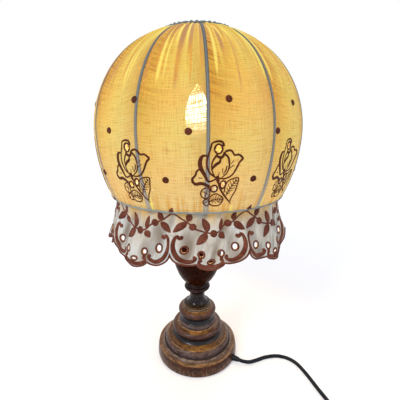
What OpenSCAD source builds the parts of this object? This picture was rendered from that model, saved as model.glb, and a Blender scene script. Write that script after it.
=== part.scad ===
// Bedside lamp: turned wooden base, gathered dome shade with a scalloped skirt, inline switch and plug.
// Millimetres. The origin is on the floor under the middle of the foot, +Z is up, -Y is the front.

/* [Foot] */
// Thickness of the felt pad under the foot
felt_h = 1.5; // [1:0.1:3]
// Width of the bare rim of wood round the felt pad
felt_margin = 2.8; // [1:0.1:6]
// Radius of the plinth
plinth_r = 70.8; // [66:0.1:85]
// Height of the plinth's side, from the felt pad to its top edge
plinth_h = 19; // [17:0.1:24]
// Height of the hollow shoulder between the plinth and the upper tier
shoulder_h = 5.3; // [4:0.1:8]
// Radius of the upper tier at its bottom
tier_r = 57.5; // [50:0.1:60]
// Height of the upper tier's rounded side
tier_h = 9.9; // [8:0.1:14]
// Radius of the foot's top face
foot_top_r = 43.4; // [42:0.1:48]
// Rise of the sloped band between the upper tier and the top face
band_h = 3.6; // [2:0.1:6]
// Radius of the recess in the underside
recess_r = 32; // [24:0.5:36]
// Height of the recess above the felt pad
recess_h = 28.5; // [26:0.1:31]

/* [Collar] */
// Height of the collar
collar_h = 57.5; // [50:0.1:66]
// Radius of the collar's lower moulding where it springs
lower_moulding_r = 41.5; // [39:0.1:42.5]
// Radius of the collar's upper moulding where it springs
upper_moulding_r = 29; // [27:0.1:31]
// Radius of the collar's top face
collar_top_r = 22.7; // [21:0.1:24]

/* [Stem] */
// Height of the stem
stem_h = 39.7; // [36:0.1:46]
// Radius of the stem's waist
waist_r = 13.1; // [11:0.1:15]
// Height of the waist above the collar
waist_h = 13.9; // [11:0.1:16]

/* [Urn] */
// Largest radius of the urn
urn_r = 40.5; // [34:0.1:46]
// Height from the stem to the urn's widest place
urn_lower_h = 58.5; // [50:0.1:66]
// Height from the urn's widest place to its top face
urn_upper_h = 44.8; // [38:0.1:52]
// Radius of the urn's bottom face
urn_bottom_r = 18.5; // [17:0.1:20]
// Radius of the urn's top face
urn_top_r = 18; // [16:0.1:20]

/* [Neck] */
// Height of the neck above the urn
neck_h = 82.2; // [70:0.1:95]
// Smallest radius of the neck
neck_r = 12.5; // [10:0.1:14]
// Radius of the flange at the top of the neck
neck_flange_r = 19.5; // [17.5:0.1:22]

/* [Tube] */
// Radius of the threaded tube that holds the column together
tube_r = 5; // [4.8:0.1:5.5]
// Radius of the tube's bore
tube_bore_r = 3.9; // [3.4:0.1:4.2]
// Radial room between the tube and the wood
tube_room = 0.3; // [0.1:0.05:0.6]
// Thickness of the washer in the recess
washer_h = 2; // [1:0.1:3]
// Height of the nuts on the tube
nut_h = 5; // [4:0.1:6]
// Distance across the flats of the nuts
nut_flats = 14; // [13:0.1:16]

/* [Lampholder] */
// Height of the lampholder's cap
cap_h = 22; // [20:0.1:26]
// Radius of the lampholder's cap
cap_r = 15; // [14.5:0.1:16.5]
// Height of the outer shell above the cap
shell_h = 35; // [32:0.1:40]
// Radius of the outer shell, which takes the shade
shell_r = 14; // [13.6:0.1:14.4]
// Wall of the outer shell and the cap
holder_wall = 1.6; // [1.2:0.1:2]
// Radial room inside the outer shell
insert_room = 0.2; // [0.1:0.05:0.4]
// Thickness of the insert's floor
insert_floor = 8; // [6:0.1:10]
// Height of the thread sleeve
sleeve_h = 18; // [15:0.1:20]
// Height of the seat ring
seat_h = 4; // [3:0.1:5]
// Radius of the seat ring
seat_r = 19; // [17.5:0.1:20.5]
// Height of the clamp ring
clamp_h = 10; // [8:0.1:12]

/* [Bulb] */
// Radius of the bulb's screw cap
bulb_cap_r = 6.8; // [6.5:0.05:7]
// Height of the bulb's screw cap
bulb_cap_h = 17; // [15:0.1:20]
// Largest radius of the bulb
bulb_r = 17.5; // [15:0.1:19]
// Height of the bulb from its contact to its tip
bulb_h = 100; // [90:0.5:110]
// Thickness of the bulb's glass
bulb_wall = 0.8; // [0.6:0.1:1.2]

/* [Shade] */
// Radius of the shade at its widest place
shade_r = 150; // [130:0.5:170]
// Radius of the cover at its top edge
top_rim_r = 47; // [42:0.5:56]
// Radius of the cover at its bottom edge
bottom_rim_r = 130.6; // [112:0.1:136]
// Height from the widest place to the top edge
upper_h = 132.4; // [115:0.1:150]
// Height from the bottom edge to the widest place
lower_h = 86.2; // [74:0.1:96]
// Depth of the fitter ring above the cover's bottom edge
fitter_depth = 47.1; // [40:0.1:56]
// Thickness of the fitter ring
fitter_h = 1.5; // [1.2:0.1:2]
// Number of ribs in the wire frame
rib_count = 12; // [8:1:14]
// Turn of the ribs from the front
rib_turn = 4.3; // [0:0.1:10]
// How far the cloth lies inside the ribs' round, halfway between two ribs
panel_sag = 3; // [1:0.1:5]
// Radius of the frame's ribs and arms
rib_wire_r = 1.4; // [1.2:0.1:1.7]
// Radius of the wire of the top and bottom rings
ring_wire_r = 1.6; // [1.4:0.1:2]
// Thickness of the cloth
cloth_t = 0.8; // [0.6:0.1:1.2]
// Room between the cloth and the wires
wire_room = 0.5; // [0.4:0.05:0.8]
// Gap between wires that are welded end to side
weld_gap = 0.1; // [0.05:0.05:0.2]
// Gap between the frill and the cover that it lies on
frill_lay = 0.15; // [0.1:0.05:0.3]
// Number of ruffles in the frill round the top edge
frill_count = 40; // [24:1:44]
// Height of the frill off the cover
frill_h = 2.9; // [2.4:0.1:4]
// Width of the frill across the top edge
frill_w = 5; // [4:0.1:6]
// Radius of the binding round the bottom edge
binding_r = 1.15; // [0.9:0.05:1.2]

/* [Skirt] */
// Number of scallops in the skirt
scallop_count = 9; // [7:1:10]
// Turn of the scallops from the front
scallop_turn = 7; // [0:0.5:20]
// Length of the skirt at the middle of a scallop
skirt_long = 69; // [60:0.5:84]
// Length of the skirt at the two creases beside the middle
skirt_crease = 63; // [56:0.5:68]
// Length of the skirt at the notch between two scallops
skirt_notch = 48; // [42:0.5:54]
// How far the hem stands out from the top of the skirt
skirt_flare = 8.5; // [3:0.1:12]
// How far the skirt is drawn in below its top
skirt_tuck = 6; // [3:0.1:8]
// Degrees by which the scallops beside the front one are spread
scallop_spread = 8; // [0:0.5:10]
// Share of its length by which the skirt hangs lower beside the front scallop
skirt_hang = 0.12; // [0:0.01:0.15]
// Depth of the folds at the hem
fold_depth = 2.2; // [1:0.1:3]

/* [Cord] */
// Diameter of the cord
cord_d = 6; // [5:0.1:6.2]
// Height of the cord's hole in the foot
cord_hole_z = 8; // [7:0.1:10]
// Turn of the cord's hole from the front, towards the right
cord_turn = 61; // [50:1:75]
// Length of the strain relief outside the foot
relief_l = 10; // [8:0.1:14]
// Turns of the coil in each of its two layers
coil_turns = 3.25; // [2.25:1:4.25]
// Radius of the coil's innermost turn
coil_inner_r = 27; // [25:0.5:32]
// Room between neighbouring turns of the coil
coil_room = 0.6; // [0.5:0.05:1]
// Width of the tie round the coil
tie_w = 6; // [4:0.5:10]

/* [Switch] */
// Length of the switch
switch_l = 62; // [56:0.5:72]
// Width of the switch
switch_w = 26; // [24:0.5:32]
// Height of the switch's base
switch_base_h = 7; // [6.5:0.1:8]
// Height of the switch's cover
switch_cover_h = 9; // [8:0.1:11]
// Wall of the switch's two halves
switch_wall = 2; // [1.5:0.1:2.5]
// Length of the rocker
rocker_l = 21; // [18:0.5:24]
// Width of the rocker
rocker_w = 11; // [9:0.5:12]
// Angle that the rocker swings through from on to off
rocker_swing = 18; // [12:1:20]

/* [Plug] */
// Thickness of the plug
plug_h = 13.7; // [13:0.1:15]
// Width of the plug
plug_w = 35; // [32:0.5:38]
// Length of the plug's body
plug_l = 34; // [30:0.5:40]
// Radius of the plug's pins
pin_r = 2; // [1.8:0.05:2.4]
// Length of the plug's pins
pin_l = 19; // [17:0.5:20]
// Distance between the plug's pins
pin_spacing = 18.6; // [17.5:0.1:19.2]

/* [Hidden] */
$fn = 72;

// Colours
dark_wood = "#3a1a0c";
mid_wood = "#8a5426";
brass = "#b08d4a";
steel = "#9aa0a4";
wire_grey = "#7c8687";
warm_cloth = "#eec46a";
skirt_cloth = "#c9c3b8";
dark_plastic = "#1e2630";
ceramic_white = "#e6e2d8";

// Heights of the stack, from the floor up
foot_top_z = felt_h + plinth_h + shoulder_h + tier_h + band_h;
collar_top_z = foot_top_z + collar_h;
stem_top_z = collar_top_z + stem_h;
urn_wide_z = stem_top_z + urn_lower_h;
urn_top_z = urn_wide_z + urn_upper_h;
column_top_z = urn_top_z + neck_h;
recess_top_z = felt_h + recess_h;
nut_bottom_z = recess_top_z - washer_h - nut_h;
tube_bottom_z = nut_bottom_z - 1.5;
cap_top_z = column_top_z + cap_h;
tube_top_z = column_top_z + 9;

// Lampholder, from the shell's bottom up
shell_bore_r = shell_r - holder_wall;
insert_r = shell_bore_r - insert_room;
insert_z = cap_top_z + 2;
insert_top_z = insert_z + insert_floor;
sleeve_room = 0.3;
sleeve_r = bulb_cap_r + sleeve_room + 1.6;
contact_h = 1.7;
terminal_h = 5;
seat_top_z = cap_top_z + seat_h;
clamp_z = seat_top_z + fitter_h;
ring_room = 0.3;

// Bulb, from its contact up
bulb_z = insert_top_z + contact_h + sleeve_room;
bulb_neck_z = bulb_z + 5 + bulb_cap_h;
bulb_wide_z = bulb_z + bulb_h * 0.55;
bulb_neck_r = bulb_cap_r + 1.2;

// Shade: two arcs that meet upright at the widest place
bottom_edge_z = seat_top_z - fitter_depth;
wide_z = bottom_edge_z + lower_h;
upper_arc_r = (pow(shade_r - top_rim_r, 2) + pow(upper_h, 2)) / (2 * (shade_r - top_rim_r));
lower_arc_r = (pow(shade_r - bottom_rim_r, 2) + pow(lower_h, 2)) / (2 * (shade_r - bottom_rim_r));
upper_angle = asin(upper_h / upper_arc_r);
lower_angle = -asin(lower_h / lower_arc_r);
rib_inset = cloth_t + wire_room + rib_wire_r;
ring_inset = cloth_t + wire_room + ring_wire_r;
top_ring_at = meridian(upper_angle, ring_inset);
bottom_ring_at = meridian(lower_angle, ring_inset);
fitter_r = seat_r + 3;
binding_at = [bottom_rim_r - 0.5, bottom_edge_z - binding_r - 0.15];
skirt_top_z = bottom_ring_at.y - ring_wire_r - 0.3;
skirt_top_r = min(bottom_ring_at.x, binding_at.x - binding_r - cloth_t / 2 - wire_room);
cover_columns = 3 * rib_count;
upper_rows = 10;
lower_rows = 5;
skirt_columns = 16 * scallop_count;
skirt_rows = 5;

// Cord: where it leaves the foot, the points of its free run, and the places that it joins
cord_r = cord_d / 2;
core_r = 1;
core_offset = 1.3;
core_bend_r = 12;
cord_start = 26;
gland_seat = 58;
gland_shank_r = cord_r + 1.7;
gland_bore_r = cord_r + 0.15;
gland_end = plinth_r + 0.2 + relief_l;
switch_x = 192;
switch_y = -124;
switch_middle_y = switch_y - switch_l / 2;
switch_end_y = switch_y - switch_l;
cord_in_switch = 8;
run_points = [
    [76, -41.5, 7.5], [82, -42.3, 6.5], [87, -41.9, 5.5], [92, -40.3, 4.5], [104, -35, 3.1],
    [116, -30, 3.1], [128, -27, 3.1], [140, -26, 3.1], [152, -28.5, 3.1], [162, -34, 3.1],
    [170, -43, 3.1], [175.5, -55, 3.1], [180, -68, 3.1], [184, -82, 3.1], [188, -96, 3.2],
    [191, -108, 4.5], [192, -117, 6.2]
];
coil_pitch = cord_d + coil_room;
coil_outer_r = coil_inner_r + coil_pitch * coil_turns;
coil_z = cord_r + 0.1;
coil_centre = [switch_x - coil_outer_r, switch_end_y - 36];
coil_steps = 24;
tie_t = 0.4;
tie_room = 0.5;
plug_relief_l = 14;
plug_x = switch_x - 2 * coil_outer_r;
plug_y = coil_centre.y + 24;
plug_z = plug_h / 2;

// Switch: the rocker's pivot and what goes round it
switch_top_z = switch_base_h + switch_cover_h;
rocker_room = 0.5;
rocker_pivot_z = switch_top_z - 2.4;
trunnion_r = 1.3;
trunnion_l = 1.6;
trunnion_room = 0.1;
cheek_t = 2;
screw_spacing = switch_l - 22;
screw_offset = switch_w / 2 - 5.5;

// A point of the shade's side at an angle up from the widest place, inset from the cloth's outside
function meridian(angle, inset) =
    let(arc_r = angle > 0 ? upper_arc_r : lower_arc_r)
    [shade_r - arc_r + (arc_r - inset) * cos(angle), wide_z + (arc_r - inset) * sin(angle)];

// A point at a radius, a turn from the front towards the right, and a height
function around(r, turn, z) = [r * sin(turn), -r * cos(turn), z];

// Points of an arc from p to q that stands off its chord by bulge, to the right of the way from p to q
function bow(p, q, bulge, steps = 8) =
    let(chord = norm(q - p))
    let(along = (q - p) / chord)
    let(out = [along.y, -along.x] * sign(bulge))
    let(half = 2 * atan(2 * abs(bulge) / chord))
    let(r = chord / 2 / sin(half))
    [for (i = [0:steps])
        let(a = half * (2 * i / steps - 1))
        (p + q) / 2 + along * r * sin(a) + out * r * (cos(a) - cos(half))];

// Points of part of an ellipse
function oval(centre, rx, ry, from, to, steps = 16) =
    [for (i = [0:steps])
        let(a = from + (to - from) * i / steps)
        centre + [rx * cos(a), ry * sin(a)]];

// Triangles between neighbouring sections of a tube, or of a ring that closes on itself
function side_faces(sections, points, closed) =
    [for (i = [0:sections - (closed ? 1 : 2)], j = [0:points - 1], half = [0, 1])
        let(a = i * points)
        let(b = (i + 1) % sections * points)
        let(next = (j + 1) % points)
        half == 0 ? [a + j, a + next, b + next] : [a + j, b + next, b + j]];

// Triangles that close one end of a tube
function end_faces(first, points, flip) =
    [for (j = [1:points - 2])
        flip ? [first, first + j + 1, first + j] : [first, first + j, first + j + 1]];

// Middle of three points' way, for the section at the second one
function heading(line, i) =
    let(way = line[min(i + 1, len(line) - 1)] - line[max(i - 1, 0)])
    way / norm(way);

// A cord with round sections square to its line
module cord_tube(line, r, sides) {
    points = [for (i = [0:len(line) - 1], j = [0:sides - 1])
        let(way = heading(line, i))
        let(across = cross(way, [0, 0, 1]) / norm(cross(way, [0, 0, 1])))
        let(up = cross(across, way))
        line[i] + r * (cos(360 * j / sides) * across + sin(360 * j / sides) * up)];
    last = (len(line) - 1) * sides;
    polyhedron(points, concat(
        side_faces(len(line), sides, false),
        end_faces(0, sides, true),
        end_faces(last, sides, false)));
}

// A ring of cloth whose sections follow one another round the shade
module cloth_ring(sections) {
    count = len(sections[0]);
    polyhedron([for (s = sections, p = s) p], side_faces(len(sections), count, true));
}

module turned(outline) {
    rotate_extrude() polygon(outline);
}

module tube_bore(z, h) {
    translate([0, 0, z - 1]) cylinder(r = tube_r + tube_room, h = h + 2);
}

// Puts a piece along the cord's hole: its +Z becomes the way out of the foot
module along_cord_hole() {
    translate([0, 0, cord_hole_z]) rotate([90, 0, cord_turn]) children();
}

module hex_nut(z, h) {
    translate([0, 0, z]) difference() {
        cylinder(r = nut_flats / 2 / cos(30), h = h, $fn = 6);
        translate([0, 0, -1]) cylinder(r = tube_r + 0.05, h = h + 2);
    }
}

module washer_ring(z, h, r, bore) {
    translate([0, 0, z]) difference() {
        cylinder(r = r, h = h);
        translate([0, 0, -1]) cylinder(r = bore, h = h + 2);
    }
}

module wire_ring(at, r) {
    rotate_extrude() translate(at) circle(r = r);
}

module rounded_block(w, l, h, r) {
    linear_extrude(h) {
        square([w - 2 * r, l], center = true);
        square([w, l - 2 * r], center = true);
        for (x = [-1, 1], y = [-1, 1])
            translate([x * (w / 2 - r), y * (l / 2 - r)]) circle(r = r);
    }
}

// Turned base

module felt_pad() {
    color(dark_plastic) cylinder(r = plinth_r - felt_margin, h = felt_h);
}

module foot() {
    side_z = felt_h + plinth_h;
    tier_z = side_z + shoulder_h;
    band_z = tier_z + tier_h;
    band_r = (tier_r + foot_top_r) / 2 + 2.5;
    outline = concat(
        [[0, felt_h], [plinth_r - 1.5, felt_h]],
        bow([plinth_r - 0.3, felt_h + 1.2], [plinth_r - 2.2, side_z], 0.7),
        bow([plinth_r - 3.2, side_z + 0.4], [tier_r + 2.6, tier_z - 1.2], -1.2),
        bow([tier_r + 2, tier_z - 1], [tier_r, tier_z], 0.6, 4),
        bow([tier_r - 0.3, tier_z + 0.4], [band_r, band_z], 1.3),
        [[band_r - 0.8, band_z + 0.3], [foot_top_r, foot_top_z], [0, foot_top_z]]);
    color(mid_wood) difference() {
        turned(outline);
        translate([0, 0, felt_h - 1]) cylinder(r = recess_r, h = recess_h + 1);
        tube_bore(felt_h, foot_top_z);
        along_cord_hole() cylinder(r = cord_r + 0.4, h = plinth_r + 2);
        along_cord_hole() translate([0, 0, gland_seat]) cylinder(r = gland_shank_r + 0.1, h = plinth_r);
    }
}

module collar() {
    z = foot_top_z;
    low = lower_moulding_r;
    high = upper_moulding_r;
    top = collar_top_z;
    outline = concat(
        [[0, z], [foot_top_r - 0.6, z]],
        bow([foot_top_r - 0.8, z + 0.3], [low, z + 9], -1.9),
        bow([low, z + 9], [low - 5.5, z + 19.7], 4.2, 12),
        [[high + 3.5, z + 20.4]],
        bow([high + 3.1, z + 20.8], [high + 0.6, z + 26.8], 1.6),
        bow([high + 0.4, z + 27], [high, top - 18.8], -2.2),
        bow([high, top - 18.8], [high - 3, top - 6.8], 5.2, 12),
        bow([collar_top_r + 2.5, top - 6], [collar_top_r + 1, top - 3.2], 0.7, 5),
        bow([collar_top_r + 0.7, top - 3], [collar_top_r, top], 0.6, 5),
        [[0, top]]);
    color(dark_wood) difference() {
        turned(outline);
        tube_bore(z, collar_h);
    }
}

module stem() {
    z = collar_top_z;
    top = stem_top_z;
    ring_r = urn_bottom_r + 0.5;
    outline = concat(
        [[0, z]],
        oval([collar_top_r, z + waist_h], collar_top_r - waist_r, waist_h, 270, 180, 10),
        bow([waist_r, z + waist_h], [ring_r - 2, top - 12.5], -1.2),
        bow([ring_r, top - 12.2], [ring_r + 0.6, top - 5.4], 2.9, 10),
        [[ring_r - 0.4, top - 5]],
        bow([ring_r, top - 4.6], [ring_r, top - 1.6], 1.5, 6),
        [[urn_bottom_r, top - 1], [urn_bottom_r, top], [0, top]]);
    color(dark_wood) difference() {
        turned(outline);
        tube_bore(z, stem_h);
    }
}

module urn() {
    low_angle = acos(urn_bottom_r / urn_r);
    high_angle = acos(urn_top_r / urn_r);
    centre = [0, urn_wide_z];
    outline = concat(
        [[0, stem_top_z]],
        oval(centre, urn_r, urn_lower_h / sin(low_angle), -low_angle, 0),
        oval(centre, urn_r, urn_upper_h / sin(high_angle), 0, high_angle),
        [[0, urn_top_z]]);
    color(dark_wood) difference() {
        turned(outline);
        tube_bore(stem_top_z, urn_top_z - stem_top_z);
    }
}

module neck() {
    z = urn_top_z;
    top = column_top_z;
    flange = neck_flange_r;
    outline = concat(
        [[0, z], [urn_top_r, z]],
        bow([urn_top_r, z + 0.8], [urn_top_r, z + 6.8], 2.4),
        bow([urn_top_r - 1, z + 7.4], [neck_r, z + 30], -2.2),
        bow([neck_r, z + 30], [flange - 4, top - 15], -1.4),
        bow([flange - 3, top - 14.6], [flange - 3, top - 10.6], 1.8, 6),
        [[flange - 1, top - 10]],
        bow([flange, top - 9], [flange, top - 1], 0.4, 4),
        [[flange - 1, top], [0, top]]);
    color(dark_wood) difference() {
        turned(outline);
        tube_bore(z, neck_h);
    }
}

// Tube, nuts and wires

module threaded_tube() {
    color(steel) washer_ring(tube_bottom_z, tube_top_z - tube_bottom_z, tube_r, tube_bore_r);
}

module foot_washer() {
    color(steel) washer_ring(recess_top_z - washer_h, washer_h, nut_flats, tube_r + tube_room);
}

module foot_nut() {
    color(steel) hex_nut(nut_bottom_z, nut_h);
}

module cord_gland() {
    collar_z = plinth_r + 0.2;
    outline = [
        [gland_bore_r, gland_seat + 0.3], [gland_shank_r, gland_seat + 0.3], [gland_shank_r, collar_z],
        [gland_shank_r + 0.7, collar_z], [gland_shank_r + 0.7, collar_z + 1.5],
        [gland_shank_r, collar_z + 2], [gland_bore_r + 0.7, gland_end], [gland_bore_r, gland_end]
    ];
    color(dark_plastic) along_cord_hole() turned(outline);
}

module core_wires() {
    bend_z = cord_hole_z + core_bend_r;
    end_z = insert_z - terminal_h;
    color("#7a4a22") for (side = [-1, 1]) rotate([0, 0, cord_turn - 90]) {
        translate([core_bend_r, side * core_offset, cord_hole_z]) rotate([0, 90, 0])
            cylinder(r = core_r, h = cord_start - core_bend_r);
        translate([core_bend_r, side * core_offset, bend_z]) rotate([90, 0, 0])
            rotate([0, 0, 180]) rotate_extrude(angle = 90) translate([core_bend_r, 0]) circle(r = core_r);
        translate([0, side * core_offset, bend_z]) cylinder(r = core_r, h = end_z - bend_z);
    }
}

// Lampholder

module holder_cap() {
    z = column_top_z;
    bore = cap_r - holder_wall;
    outline = concat(
        [[tube_r + 0.05, z], [cap_r - 4, z]],
        bow([cap_r - 3.4, z + 1], [cap_r, z + 7], 0.9),
        [[cap_r, cap_top_z], [bore, cap_top_z]],
        [[bore, z + 7.5], [bore - 3, z + 3], [tube_r + 0.05, z + 3]]);
    color(brass) turned(outline);
}

module holder_nut() {
    color(steel) hex_nut(column_top_z + 3, nut_h);
}

module holder_shell() {
    color(brass) washer_ring(cap_top_z, shell_h, shell_r, shell_bore_r);
}

module holder_insert() {
    cup_r = sleeve_r + 0.1;
    outline = [
        [0, insert_z], [insert_r, insert_z], [insert_r, insert_top_z + sleeve_h - 3],
        [cup_r, insert_top_z + sleeve_h - 3], [cup_r, insert_top_z], [0, insert_top_z]
    ];
    color(ceramic_white) difference() {
        turned(outline);
        for (y = [2.5, -sleeve_r + 0.9])
            translate([0, y, insert_z - 1]) cylinder(r = 0.9, h = insert_floor + 2);
    }
}

module thread_sleeve() {
    color(brass) washer_ring(insert_top_z, sleeve_h, sleeve_r, bulb_cap_r + sleeve_room);
}

module centre_contact() {
    color(brass) {
        translate([0, 2.5, insert_z]) cylinder(r = 0.8, h = insert_floor);
        translate([-2, -2.5, insert_top_z]) cube([4, 6, contact_h]);
    }
}

module side_contact() {
    reach = sleeve_r - 0.9;
    color(brass) {
        translate([0, -reach, insert_z]) cylinder(r = 0.8, h = insert_floor);
        translate([-1.5, -reach - 1, insert_z - 0.8]) cube([3, reach - 4.6, 0.8]);
    }
}

module terminals() {
    color(brass) rotate([0, 0, cord_turn - 90]) for (side = [-1, 1])
        translate([-1.6, side * 2.8 - 2.4, insert_z - terminal_h]) difference() {
            cube([3.2, 4.8, terminal_h - 0.9]);
            translate([1.6, side > 0 ? 3 : -0.5, 2]) rotate([-90, 0, 0]) cylinder(r = 0.9, h = 2.5);
        }
}

module terminal_screws() {
    color(steel) rotate([0, 0, cord_turn - 90]) for (side = [-1, 1])
        translate([0, side * 5.2, insert_z - terminal_h + 2]) rotate([-90 * side, 0, 0]) {
            translate([0, 0, -1.7]) cylinder(r = 0.8, h = 1.7);
            cylinder(r = 1.5, h = 1.2);
        }
}

module seat_ring() {
    color(brass) difference() {
        union() {
            translate([0, 0, cap_top_z]) cylinder(r = seat_r - 2, h = seat_h / 2);
            translate([0, 0, cap_top_z + seat_h / 2]) cylinder(r = seat_r, h = seat_h / 2);
        }
        translate([0, 0, cap_top_z - 1]) cylinder(r = shell_r + 0.05, h = seat_h + 2);
    }
}

// Shade

module fitter_ring() {
    color(wire_grey) washer_ring(seat_top_z, fitter_h, fitter_r, shell_r + ring_room);
}

module fitter_arms() {
    inner = [fitter_r + weld_gap + rib_wire_r, seat_top_z + fitter_h / 2];
    away = bottom_ring_at - inner;
    length = norm(away) - ring_wire_r - weld_gap;
    color(wire_grey) for (i = [0:2]) rotate([0, 0, rib_turn + 120 * i - 90])
        translate([inner.x, 0, inner.y]) rotate([0, atan2(away.x, away.y), 0]) {
            cylinder(r = rib_wire_r, h = length);
            sphere(r = rib_wire_r);
        }
}

module top_ring() {
    color(wire_grey) wire_ring(top_ring_at, ring_wire_r);
}

module bottom_ring() {
    color(wire_grey) wire_ring(bottom_ring_at, ring_wire_r);
}

// Half of a rib: the part of its arc on one side of the widest place
module rib_half(arc_r, angle) {
    line_r = arc_r - rib_inset;
    stop = abs(angle) - (ring_wire_r + weld_gap) / line_r * 180 / PI;
    translate([shade_r - arc_r, 0, wide_z]) rotate([90, 0, 0])
        rotate([0, 0, angle > 0 ? 0 : -stop])
        rotate_extrude(angle = stop) translate([line_r, 0]) circle(r = rib_wire_r, $fn = 24);
}

module frame_ribs() {
    color(wire_grey) for (i = [0:rib_count - 1]) rotate([0, 0, rib_turn + 360 * i / rib_count - 90]) {
        rib_half(upper_arc_r, upper_angle);
        rib_half(lower_arc_r, lower_angle);
    }
}

module shade_cover() {
    angles = concat(
        [for (i = [0:lower_rows]) lower_angle * (1 - i / lower_rows)],
        [for (i = [1:upper_rows]) upper_angle * i / upper_rows]);
    sections = [for (i = [0:cover_columns - 1])
        let(turn = rib_turn + 360 * i / cover_columns)
        let(sag = panel_sag * (1 - cos(rib_count * (turn - rib_turn))) / 2)
        let(side = function(a, inset)
            let(p = meridian(a, inset))
            let(fade = cos(90 * a / (a > 0 ? upper_angle : -lower_angle)))
            around(p.x - sag * fade, turn, p.y))
        concat([for (a = angles) side(a, 0)],
               [for (k = [len(angles) - 1:-1:0]) side(angles[k], cloth_t)])];
    color(warm_cloth) cloth_ring(sections);
}

module top_frill() {
    edge = meridian(upper_angle, 0);
    columns = 3 * frill_count;
    sections = [for (i = [0:columns - 1])
        let(turn = 360 * i / columns)
        let(ruffle = sin(frill_count * turn))
        let(lift = 0.5 * cos(frill_count * turn))
        let(spot = function(out, up)
            let(p = edge + [out * sin(upper_angle), -out * cos(upper_angle)]
                + up * [cos(upper_angle), sin(upper_angle)])
            around(p.x + 0.4 * ruffle, turn, p.y))
        [spot(frill_w * 0.7, frill_lay),
         spot(frill_w * 0.6, frill_h * 0.65 + lift),
         spot(frill_w * 0.2, frill_h + lift),
         spot(-frill_w * 0.2, frill_h * 0.75 + lift),
         spot(-frill_w * 0.3, frill_lay)]];
    color(wire_grey) cloth_ring(sections);
}

module bottom_binding() {
    color(wire_grey) wire_ring(binding_at, binding_r);
}

// Length of the skirt at a turn of its cloth: each scallop has a middle lobe between two side lobes
function skirt_length(turn) =
    let(step = 360 / scallop_count)
    let(from_middle = abs((turn + 720 + step / 2) % step - step / 2) / (step / 2))
    let(crease = 0.35)
    let(widest = 0.55)
    let(side_long = skirt_notch + (skirt_crease - skirt_notch)
        / sqrt(1 - pow((crease - widest) / (1 - widest), 2)))
    (1 + skirt_hang * pow(sin(2 * turn), 2)) * (from_middle < crease
        ? skirt_crease + (skirt_long - skirt_crease) * sqrt(1 - pow(from_middle / crease, 2))
        : skirt_notch + (side_long - skirt_notch)
            * sqrt(max(0, 1 - pow((from_middle - widest) / (1 - widest), 2))));

module skirt() {
    sections = [for (i = [0:skirt_columns - 1])
        let(cloth_turn = 360 * i / skirt_columns)
        let(turn = scallop_turn + cloth_turn + scallop_spread * sin(cloth_turn) * abs(sin(cloth_turn)))
        let(phase = scallop_count * cloth_turn)
        let(long = skirt_length(cloth_turn))
        let(side = function(row, inset)
            let(drop = pow(row / skirt_rows, 1.5))
            let(fold = fold_depth * (0.7 * cos(phase) + cos(2 * phase)))
            let(r = skirt_top_r + drop * (skirt_flare + fold) - skirt_tuck * sin(180 * sqrt(drop)))
            around(r - inset, turn, skirt_top_z - long * drop))
        concat([for (row = [skirt_rows:-1:0]) side(row, -cloth_t / 2)],
               [for (row = [0:skirt_rows]) side(row, cloth_t / 2)])];
    color(skirt_cloth) cloth_ring(sections);
}

module clamp_ring() {
    grip_count = 12;
    color(brass) difference() {
        union() {
            translate([0, 0, clamp_z]) cylinder(r = seat_r, h = 2.5);
            translate([0, 0, clamp_z + 2.5]) cylinder(r = seat_r - 1.5, h = clamp_h - 2.5);
        }
        translate([0, 0, clamp_z - 1]) cylinder(r = shell_r + ring_room, h = clamp_h + 2);
        for (i = [0:grip_count - 1]) rotate([0, 0, 360 * i / grip_count])
            translate([seat_r, 0, clamp_z + 2.5]) cylinder(r = 2.2, h = clamp_h, $fn = 24);
    }
}

// Bulb

// Side of the bulb's glass, from its neck to its tip, inset by a wall
function bulb_side(inset) =
    let(tip_z = bulb_z + bulb_h - inset)
    concat(
        bow([bulb_neck_r - inset, bulb_neck_z], [bulb_r - inset, bulb_wide_z], 2.4, 10),
        bow([bulb_r - inset, bulb_wide_z], [3 - inset, tip_z - 3], 3.4, 12),
        [[0, tip_z]]);

module bulb_glass() {
    inner = bulb_side(bulb_wall);
    color("#fff2cc") turned(concat(bulb_side(0), [for (i = [len(inner) - 1:-1:0]) inner[i]]));
}

module bulb_cap() {
    z = bulb_z + 5;
    outline = [
        [bulb_cap_r - 1, z], [bulb_cap_r, z + 1], [bulb_cap_r, bulb_neck_z - 2.5],
        [bulb_neck_r, bulb_neck_z - 0.2], [bulb_neck_r - 0.6, bulb_neck_z - 0.2],
        [bulb_cap_r - 0.6, bulb_neck_z - 2.5], [bulb_cap_r - 0.6, z + 1], [bulb_cap_r - 1.6, z]
    ];
    color(brass) turned(outline);
}

module bulb_insulator() {
    outline = [[0, bulb_z + 1.8], [3, bulb_z + 1.8], [bulb_cap_r - 1.2, bulb_z + 4.9], [0, bulb_z + 4.9]];
    color("#2a2a2a") turned(outline);
}

module bulb_contact() {
    color(steel) translate([0, 0, bulb_z]) cylinder(r = 2.4, h = 1.8);
}

module bulb_filament() {
    post_z = bulb_z + 4.9;
    post_h = bulb_h * 0.3;
    strip_h = bulb_h * 0.32;
    color("#ffd98a") {
        translate([0, 0, post_z]) cylinder(r = 2.2, h = post_h);
        for (i = [0:3]) rotate([0, 0, 90 * i]) translate([1.4, 0, post_z + post_h])
            rotate([0, 12, 0]) cylinder(r = 0.7, h = strip_h);
    }
}

// Cord, switch and plug

function cord_axis_point(out) = around(out, cord_turn, cord_hole_z);

module cord_run() {
    line = concat(
        [for (out = [cord_start, (cord_start + gland_seat) / 2, gland_seat, gland_end]) cord_axis_point(out)],
        run_points,
        [[switch_x, switch_y - 1, switch_base_h], [switch_x, switch_y - cord_in_switch, switch_base_h]]);
    color(dark_plastic) cord_tube(line, cord_r, 10);
}

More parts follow.
